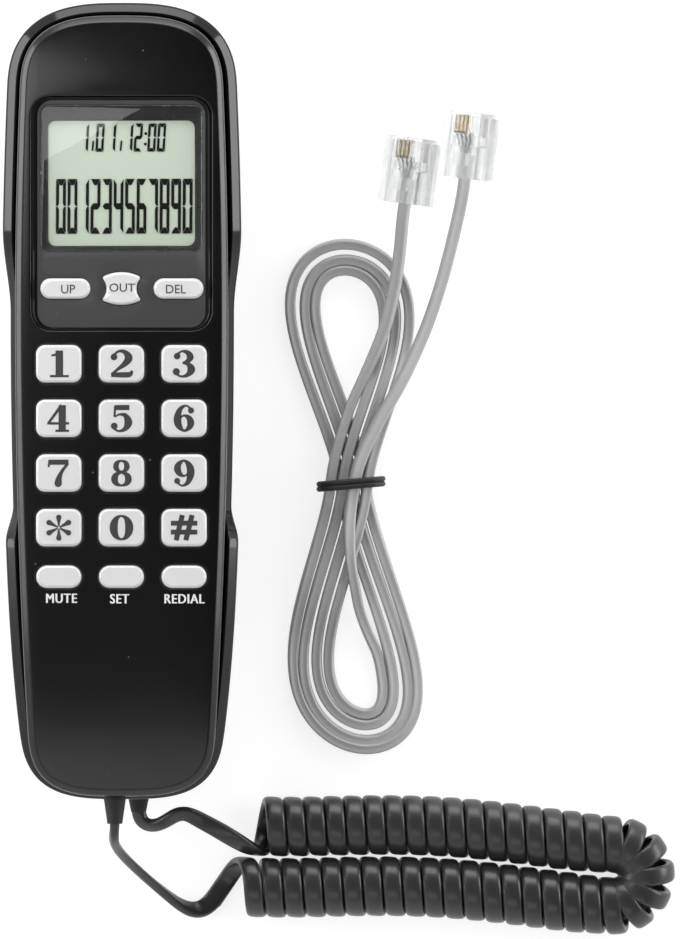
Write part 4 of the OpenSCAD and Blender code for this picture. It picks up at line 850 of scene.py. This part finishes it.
def key_cap(outline, place, top):
    """A clear cap: a flange, straight walls, a rounded shoulder, and a top crowned as a parabola."""
    levels = [(flange, cap_foot), (flange, cap_foot + flange_tall), (0.0, cap_foot + flange_tall),
              (0.0, top - shoulder_tall)]
    levels += [(-shoulder_in * done, top - shoulder_tall * left)
               for done, left in quarter(15, 30, 45, 60, 75, 86)]
    rings = [(outline(out) + place, z) for out, z in levels]
    rings += [(outline(-shoulder_in) * k + place, top + cap_crown * (1 - k ** 2))
              for k in (0.86, 0.7, 0.5, 0.25, 0.08)]
    return capped(stacked(rings))


def key_body(outline, place, top):
    """The white body inside a clear cap, a little smaller all round, with a level printed top."""
    levels = [(body_profile[0][0], body_foot), *[(out, top - drop) for out, drop in body_profile]]
    return capped(stacked([(outline(out) + place, z) for out, z in levels]))


high_key, low_key, small_size = (41.2, 1.3), (40.5, 1.0), (10.0, 4.1, 2.0)
key_shapes = []
for size, names, places, heights in ((key_size, key_names, key_places, high_key),
                                     (long_size, long_names, long_places, high_key),
                                     (small_size, ("key_up", "key_del"), (up_at, del_at), low_key)):
    key_shapes += [(name, place, partial(round_rect, *size), *heights) for name, place in zip(names, places)]
key_shapes.append(("key_out", out_at, spool, *low_key))
words = {"key_up": ("UP", (-10.7, 22.2)), "key_out": ("OUT", (0.1, 22.5)), "key_del": ("DEL", (10.8, 22.2))}
figure_wide, figure_tall, pen_wide = 1.14, 1.04, 1.08
ink_sunk, ink_high, ink_step, dot_high = 0.03, 0.02, 0.006, 0.06
word_size, word_lift, word_thick = 2.4, 0.01, 0.04
label_size, label_thick, label_step, label_narrow, label_apart = 2.7, 0.06, 0.008, 0.84, 1.12
for name, place, outline, top, deep in key_shapes:
    print_top, key_at = top - deep, np.array(place)
    cap = put(name + "_clear", [key_cap(outline, key_at, top)], key_clear, name + "_cap")
    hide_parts(name)
    put(name + "_body", [key_body(outline, key_at, print_top)], key_white, name + "_cap")
    mark = []
    if name in figures:
        strokes, dots = figures[name]
        for k, line in enumerate(strokes):
            line = np.array(line) * [figure_wide, figure_tall, pen_wide] + [*place, 0]
            mark.append(stroke(line, print_top - ink_sunk, print_top + ink_high + ink_step * k))
        for x, y, r in dots:
            dot = disc(r * pen_wide, (place[0] + figure_wide * x, place[1] + figure_tall * y), 20)
            mark.append(prism(dot, print_top - ink_sunk, print_top + dot_high))
    elif name in words:
        mark.append(lettering(*words[name], word_size, print_top + word_lift, word_thick))
    if mark:
        put(name + "_mark", mark, mark_grey, name + "_cap")
for word, place in (("MUTE", (-12.0, -39.5)), ("SET", (-0.4, -39.6)), ("REDIAL", (12.5, -39.6))):
    label = []
    for k, shift in enumerate((-0.08, 0.0, 0.08)):
        spot = (place[0] + shift, place[1])
        thick = label_thick + label_step * k
        points, faces = lettering(word, spot, label_size, -ink_sunk, thick, label_narrow, label_apart)
        points[:, 2] += face_height(points)
        label.append((points, faces))
    put("label_" + word.lower(), label, label_white, "handset")


# Curly cord.
# A flat charcoal cord wound into a tight spiral that springs back. It leaves the cradle's lower end, runs
# out, turns in a U and comes back, and its last stretch climbs to the handset.

def slopes(path):
    """The direction of a line of points at each of them."""
    return unit(np.gradient(path, axis=0))


def distances(path):
    """How far along a line of points each of them is."""
    return np.concatenate([[0], np.cumsum(np.linalg.norm(np.diff(path, axis=0), axis=1))])


def read_off(even, s, values):
    """Rows of three values known at distances s, read off at other distances."""
    return np.stack([np.interp(even, s, values[:, k]) for k in range(3)], axis=1)


def relaxed(path, step, reach):
    """A line stepped evenly along its length and smoothed over a reach, its ends kept."""
    s = distances(path)
    p = read_off(np.linspace(0, s[-1], max(int(s[-1] / step), 8)), s, path)
    half = max(int(2.5 * reach / step), 1)
    k = np.exp(-0.5 * (np.arange(-half, half + 1) * step / reach) ** 2)
    padded = np.concatenate([2 * p[0] - p[half:0:-1], p, 2 * p[-1] - p[-2:-half - 2:-1]])
    return np.stack([np.convolve(padded[:, j], k / k.sum(), "valid") for j in range(3)], axis=1)


def carried(path, first):
    """A sideways vector carried along a line without twisting."""
    rows, v = [], np.asarray(first, float)
    for d in slopes(path):
        v = unit(v - d * np.dot(v, d))
        rows.append(v)
    return np.array(rows)


def rolled(path, sides, degrees):
    """Side vectors turned about their line by an angle at each point."""
    a = np.radians(degrees)[:, None]
    return sides * np.cos(a) + np.cross(slopes(path), sides) * np.sin(a)


def swept(path, sides, width, thick, power=2.6, around=20, wrap=False, groove=0.0):
    """A cord: a rounded oblong section carried along a path, wide along the side vectors, with domed ends.
    A groove may run along the middle of both flat faces."""
    t = unit(np.roll(path, -1, axis=0) - np.roll(path, 1, axis=0)) if wrap else slopes(path)
    a = unit(sides - t * (sides * t).sum(axis=1, keepdims=True))
    b = np.cross(t, a)
    angle = np.linspace(0, 2 * np.pi, around, endpoint=False)
    c, s = np.cos(angle), np.sin(angle)
    width, thick = np.broadcast_to(width, len(path)), np.broadcast_to(thick, len(path))
    u = width[:, None] / 2 * np.sign(c) * np.abs(c) ** (2 / power)
    w = thick[:, None] / 2 * np.sign(s) * np.abs(s) ** (2 / power) * (1 - groove * np.exp(-(c / 0.28) ** 2))
    points = (path[:, None] + a[:, None] * u[..., None] + b[:, None] * w[..., None]).reshape(-1, 3)
    faces = band_faces(len(path), around, wrap).tolist()
    if wrap:
        return points, faces
    n, last = len(points), (len(path) - 1) * around
    ends = np.array([path[0] - t[0] * thick[0] * 0.1, path[-1] + t[-1] * thick[-1] * 0.1])
    k = np.arange(around)
    faces += np.stack([np.full(around, n), (k + 1) % around, k], axis=1).tolist()
    faces += np.stack([np.full(around, n + 1), last + k, last + (k + 1) % around], axis=1).tolist()
    return np.concatenate([points, ends]), faces


cord_charcoal = moulded("cord_charcoal", (0.024, 0.024, 0.025), (0.034, 0.034, 0.035), (0.26, 0.36), 0.12,
                        1800.0, 0.15)
curl_r, curl_pitch, far_curls, turn_curls, near_curls = 5.15, 4, 18, 6, 18.5
turn_r, turn_at, turn_bulge, turn_shrink = 6.15, (98.4, -95.1, 6.1), 0.5, 0.05
lean, leg_bow = math.radians(-3), 1.8
far_pull, far_pulled, near_pull, near_pulled = 10, 0.3, 4, 0.5
far_len, turn_len, curl_total = curl_pitch * far_curls, math.pi * turn_r, far_curls + turn_curls + near_curls


def curl_line(n):
    """The spiral at turn n, and its axis there: a circle about an axis that runs out, turns in a U and comes
    back. Both legs bow, both ends are pulled out, and the curls in the U stand out and are smaller."""
    turned, back = n - far_curls, n - far_curls - turn_curls
    s = np.where(turned < 0, curl_pitch * n, far_len + turn_len * turned / turn_curls)
    s = np.where(back < 0, s, far_len + turn_len + curl_pitch * back)
    s = s - far_pull * np.maximum(0, 1 - n / far_pulled) ** 2
    s = s + near_pull * np.maximum(0, 1 - (curl_total - n) / near_pulled) ** 2
    x = (s - far_len) / turn_len
    bend = np.radians(90 - 180 * np.clip(x, 0, 1)) + lean
    left = np.stack([np.cos(bend), np.sin(bend), 0 * bend], axis=1)
    run = np.minimum(s - far_len, 0) - np.maximum(s - far_len - turn_len, 0)
    leg = np.clip(-run / far_len, 0, 1)
    out = turn_r + turn_bulge * ease(2 * np.minimum(x, 1 - x))
    axis = turn_at + out[:, None] * left + np.outer(run, [math.cos(lean), math.sin(lean), 0])
    axis[:, 1] += leg_bow * 16 * (leg * (1 - leg)) ** 2
    r = curl_r * (1 - turn_shrink * ease(2 * np.minimum(x + 0.5, 1.5 - x)))
    phi = np.radians(90 + 360 * n)
    points = axis + (r * np.cos(phi))[:, None] * left + np.outer(r * np.sin(phi), [0, 0, 1])
    return points, np.stack([left[:, 1], -left[:, 0], 0 * bend], axis=1)


lead_width, lead_thick, curl_width, curl_thick, cord_power = 2.9, 1.9, 3.75, 1.8, 3.0
straight_end, fade_steps, edge_turn = 4, 40, 62
cord_step, base_soft, handset_soft, curl_soft = 0.4, 1.5, 2.2, 0.6


def on_edge(path, sides):
    """Side vectors turned about their line most at its middle, so that the flat cord stands on edge there."""
    return rolled(path, sides, edge_turn * np.sin(np.linspace(0, np.pi, len(path))))


def flat_cord(path, sides, wound):
    """The curly cord's surface along a path: narrow and thick, but wide and thin where it is wound."""
    width = lead_width + (curl_width - lead_width) * wound
    thick = lead_thick + (curl_thick - lead_thick) * wound
    return swept(path, sides, width, thick, cord_power)


curls, curl_axis = curl_line(np.linspace(0, curl_total, 2200))
far_dir, near_dir = unit((curls[0] - curls[1]) * [1, 1, 0]), unit((curls[-1] - curls[-2]) * [1, 1, 0])
far_end, near_end = curls[0] + far_dir * straight_end, curls[-1] + near_dir * straight_end
base_tip, handset_tip = np.array([3.2, -82.4, 7.2]), np.array([-1.4, -84.5, 30.0])
base_stops = [base_tip + [0, 2, 0], base_tip, base_tip - [0, 1.5, 0], (4.8, -85.3, 7.1), (7.4, -85, 8.2),
              (10.2, -83.2, 10.2), far_end + far_dir * 1.2, far_end, curls[0]]
handset_stops = [near_end - near_dir * 1.5, near_end, near_end + near_dir * 1.6, (14.9, -102.6, 1.3),
                 (12.2, -101.6, 2.6), (9.0, -99.2, 5.4), (5.2, -96.0, 9.4), (1.8, -92.8, 14.6),
                 (-0.7, -90.0, 20.6), (-1.7, -87.8, 26.2), handset_tip - [0, 1.6, 0], handset_tip,
                 handset_tip + [0, 2, 0]]
base_lead = relaxed(through(base_stops, 8), cord_step, base_soft)
handset_lead = relaxed(through(handset_stops, 8), cord_step, handset_soft)
rough = np.concatenate([base_lead[:-1], curls, near_end[None]])
base_sides = on_edge(base_lead, carried(base_lead[::-1], curl_axis[0])[::-1])
sides = np.concatenate([base_sides[:-1], curl_axis, curl_axis[-1:]])
path = relaxed(rough, cord_step, curl_soft)
far = distances(rough)
sides = read_off(np.linspace(0, far[-1], len(path)), far, sides)
wound = ease(np.arange(len(path)) / (len(base_lead) + fade_steps))
curly = put("curly_cord", [flat_cord(path, sides, wound)], cord_charcoal, "base", 60)
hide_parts("curly_cord_curls", "curly_cord_base_lead")

wound = 1 - ease(np.arange(len(handset_lead)) / fade_steps)
lead_sides = on_edge(handset_lead, carried(handset_lead, curl_axis[-1]))
lead = put("curly_cord_rise", [flat_cord(handset_lead, lead_sides, wound)], cord_charcoal, None, 60)
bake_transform(lead)
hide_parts("curly_cord_handset_lead")


# Line cord.
# A flat grey four-wire cord with a clear plug on each end, folded into a figure-of-eight hank as it comes
# from the packer, and held at the waist by a doubled black elastic.

cord_grey = moulded("cord_grey", (0.38, 0.38, 0.383), (0.47, 0.47, 0.473), (0.34, 0.46), grain=1800.0)
hank_at, hank_turns, hank_start, strand_step = np.array([45.8, -16.6]), 3 + 150 / 360, 75, 2.45
eight_wide, upper_len, lower_len, upper_lean, lower_lean = 20.6, 45.2, 50.2, -1.4, 3.4
lay_z, over_rise, over_half, under_rise, under_half, hump_ramp = 1.2, 4.15, 22, 1.35, 14, 18
stray_most, stray_turn, stray_start = 0.42, 2.75, 0.6


def eight(a):
    """A figure of eight at angle a: a slim lemniscate with a longer lower half, each lobe leaning."""
    c, s = np.cos(a), np.sin(a)
    x = eight_wide * s * c * np.abs(c) ** 0.4 + np.where(c > 0, upper_lean, lower_lean) * c ** 4
    return np.stack([x, np.where(c > 0, upper_len, lower_len) * c], axis=1)


def hump(deg, centre, half, ramp):
    """1 within half of a centre angle, falling smoothly to 0 over ramp."""
    return ease((half + ramp - np.abs(deg - centre)) / ramp)


def hank_line(n):
    """The hank at turn n: the figure of eight, stepped sideways a little with each turn, humped over its
    crossing."""
    deg = (hank_start + 360 * n) % 360
    a = np.radians(deg)
    d = unit(eight(a + 0.008) - eight(a - 0.008))
    stray = stray_most * np.sin(stray_turn * n + stray_start) * np.cos(a) ** 2
    aside = (n - hank_turns / 2) * strand_step + stray
    p = eight(a) + np.stack([-d[:, 1], d[:, 0]], axis=1) * aside[:, None]
    z = lay_z + 0.5 * np.abs(stray) + over_rise * hump(deg, 90, over_half, hump_ramp)
    z = z + under_rise * hump(deg, 270, under_half, hump_ramp)
    return np.column_stack([p + hank_at, z])


hank = hank_line(np.linspace(0, hank_turns, 900))
in_dir, out_dir = unit(hank[0] - hank[1]), unit(hank[-1] - hank[-2])
plug_spots = {"a": ((56.6, 39.6, 5.62), -8.0), "b": ((68.6, 44.6, 5.62), -7.0)}


def plug_back(which):
    """The middle of a plug's rear face and the direction in which its cord leaves."""
    spot, turned = plug_spots[which]
    return np.array(spot), np.array([math.sin(math.radians(turned)), -math.cos(math.radians(turned)), 0])


tail_a, back_a = plug_back("a")
tail_b, back_b = plug_back("b")
stops_a = [tail_a - back_a * 5, tail_a, tail_a + back_a * 3, (55.6, 30, 5.4), (54.4, 22, 5.4), (52, 13, 5.8),
           hank[0] + in_dir * 3]
stops_b = [hank[-1] + out_dir * 2.5, (49.5, -47.3, 1.6), (47.5, -42, 3.6), (46.7, -37.6, 6.6),
           (45.9, -33, 7.65), (45.4, -26, 7.65), (46, -19, 7.65), (47.6, -12, 7.65), (51.4, -4, 7.65),
           (56, 4, 7.4), (60.6, 14, 6.2), (64, 24, 5.8), (66.6, 34, 5.6), tail_b + back_b * 3,
           tail_b, tail_b - back_b * 5]
lead_a_len, lead_b_len, fade_len, lead_roll, hank_roll, roll_wave = 30, 90, 14, 20, 13, 17
hank_width, lead_wider, hank_thick, lead_thinner, line_groove = 2.1, 0.35, 2.2, 0.45, 0.26
line_path = relaxed(np.concatenate([through(stops_a, 8), hank, through(stops_b, 8)]), 0.7, 1.6)
along = distances(line_path)
loose_b = ease((along - along[-1] + lead_b_len) / fade_len)
loose = np.maximum(1 - ease((along - lead_a_len) / fade_len), loose_b)
flat_side = unit(np.cross(slopes(line_path), [0, 0, 1.0]))
roll = lead_roll * loose + hank_roll * (1 - loose) * np.sin(along / roll_wave)
width, thick = hank_width + lead_wider * loose, hank_thick - lead_thinner * loose
strand = swept(line_path, rolled(line_path, flat_side, roll), width, thick, 3.4, 28, groove=line_groove)
line_cord = put("line_cord", [strand], cord_grey, "base", 60)
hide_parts("line_cord_hank", "line_cord_lead_a", "line_cord_lead_b")

tie_black = moulded("tie_black", (0.010, 0.010, 0.010), (0.02, 0.02, 0.02), (0.45, 0.65), 0.6)
tie_size, tie_z, tie_thick, tie_slope = (12.77, 8.7, 3.2), 4.95, 1.12, 0.085
tie = []
x, z = round_rect(*tie_size, 0.0, (hank_at[0], tie_z), 12).T
for shift in (-0.5, 0.5):
    hoop = np.column_stack([x, hank_at[1] + shift + tie_slope * (x - hank_at[0]), z])
    tie.append(swept(hoop, np.tile([0, 1.0, 0], (len(hoop), 1)), tie_thick, tie_thick, 2.0, 14, True))
tie = put("waist_tie", tie, tie_black, "base", 60)
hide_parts("cord_tie")


# Plugs.
# Clear six-way modular plugs: a body with slots for four gilt blades, a hollow for the cord, a pinched cord
# clamp, four bared wires and a springy latch underneath. Each lies on one edge and its latch.

plug_clear = clear("plug_clear", (0.985, 0.99, 0.99), 0.02, 1.585, 0.4)
wire_grey = moulded("wire_grey", (0.16, 0.16, 0.165), (0.34, 0.34, 0.345), (0.35, 0.5))
plug_roll, plug_corner, wire_thick = math.radians(-38), 0.35, 0.55
blade_x = [1.02 * k for k in (-1.5, -0.5, 0.5, 1.5)]
plug_profile = [(0.0, 9.25, 6.2, 0.0), (0.2, 9.65, 6.6, 0.0), (12.55, 9.65, 6.6, 0.0), (12.6, 9.65, 5.4, 0.6),
                (13.2, 9.6, 5.35, 0.6), (13.4, 9.2, 5.0, 0.6)]
hollows = [(x - 0.25, x + 0.25, 8.9, 13.0, 1.7, 3.25) for x in blade_x]
hollows += [(-3.1, 3.1, 0.08, 6.6, -1.3, 1.3), (-2.0, 2.0, 2.6, 5.2, 1.5, 3.2),
            (-2.4, 2.4, 6.9, 8.6, -0.5, 1.2)]


def hollow_box(x0, x1, y0, y1, z0, z1):
    """A closed box with its faces turned in: points and faces."""
    points = [(x, y, z) for z in (z0, z1) for x, y in ((x0, y0), (x1, y0), (x1, y1), (x0, y1))]
    faces = [[3, 2, 1, 0], [4, 5, 6, 7], [0, 1, 5, 4], [1, 2, 6, 5], [2, 3, 7, 6], [3, 0, 4, 7]]
    return points, [f[::-1] for f in faces]


def in_place(which, points):
    """Points of a plug from its own frame to where it lies: rolled about its length, then turned."""
    spot, turned = plug_spots[which]
    r, t = plug_roll, math.radians(turned)
    x, y, z = np.asarray(points, float).reshape(-1, 3).T
    x, z = x * math.cos(r) + z * math.sin(r), -x * math.sin(r) + z * math.cos(r)
    return np.column_stack([x * math.cos(t) - y * math.sin(t), x * math.sin(t) + y * math.cos(t), z]) + spot


plug_pieces = []
for which in "ab":
    rows = []
    for y, w, h, z in plug_profile:
        line = round_rect(w, h, plug_corner, 0.0, (0.0, z), 4)[::-1]
        rows.append(np.column_stack([line[:, 0], np.full(len(line), y), line[:, 1]]))
    body = [capped(rows), *[hollow_box(*space) for space in hollows]]
    body = [(in_place(which, points), faces) for points, faces in body]
    piece = put(f"plug_{which}_clear", body, plug_clear, "base", turn_out=False)
    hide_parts(f"plug_{which}_body")
    wires = []
    for x in blade_x:
        run = through([(x * 0.55, 4.6, 0.0), (x * 0.7, 6.4, 0.1), (x, 8.2, 0.7), (x, 9.4, 1.35)], 6)
        across = np.tile([1.0, 0, 0], (len(run), 1))
        wires.append(swept(in_place(which, run), across, wire_thick, wire_thick, 2.0, 10))
    wires = put(f"plug_{which}_wires", wires, wire_grey, "base", 60)
    dress(f"plug_{which}_latch", plug_clear)
    dress(f"plug_{which}_contacts", gold)
    plug_pieces += [piece, wires, nodes[f"plug_{which}_contacts"], nodes[f"plug_{which}_latch"]]
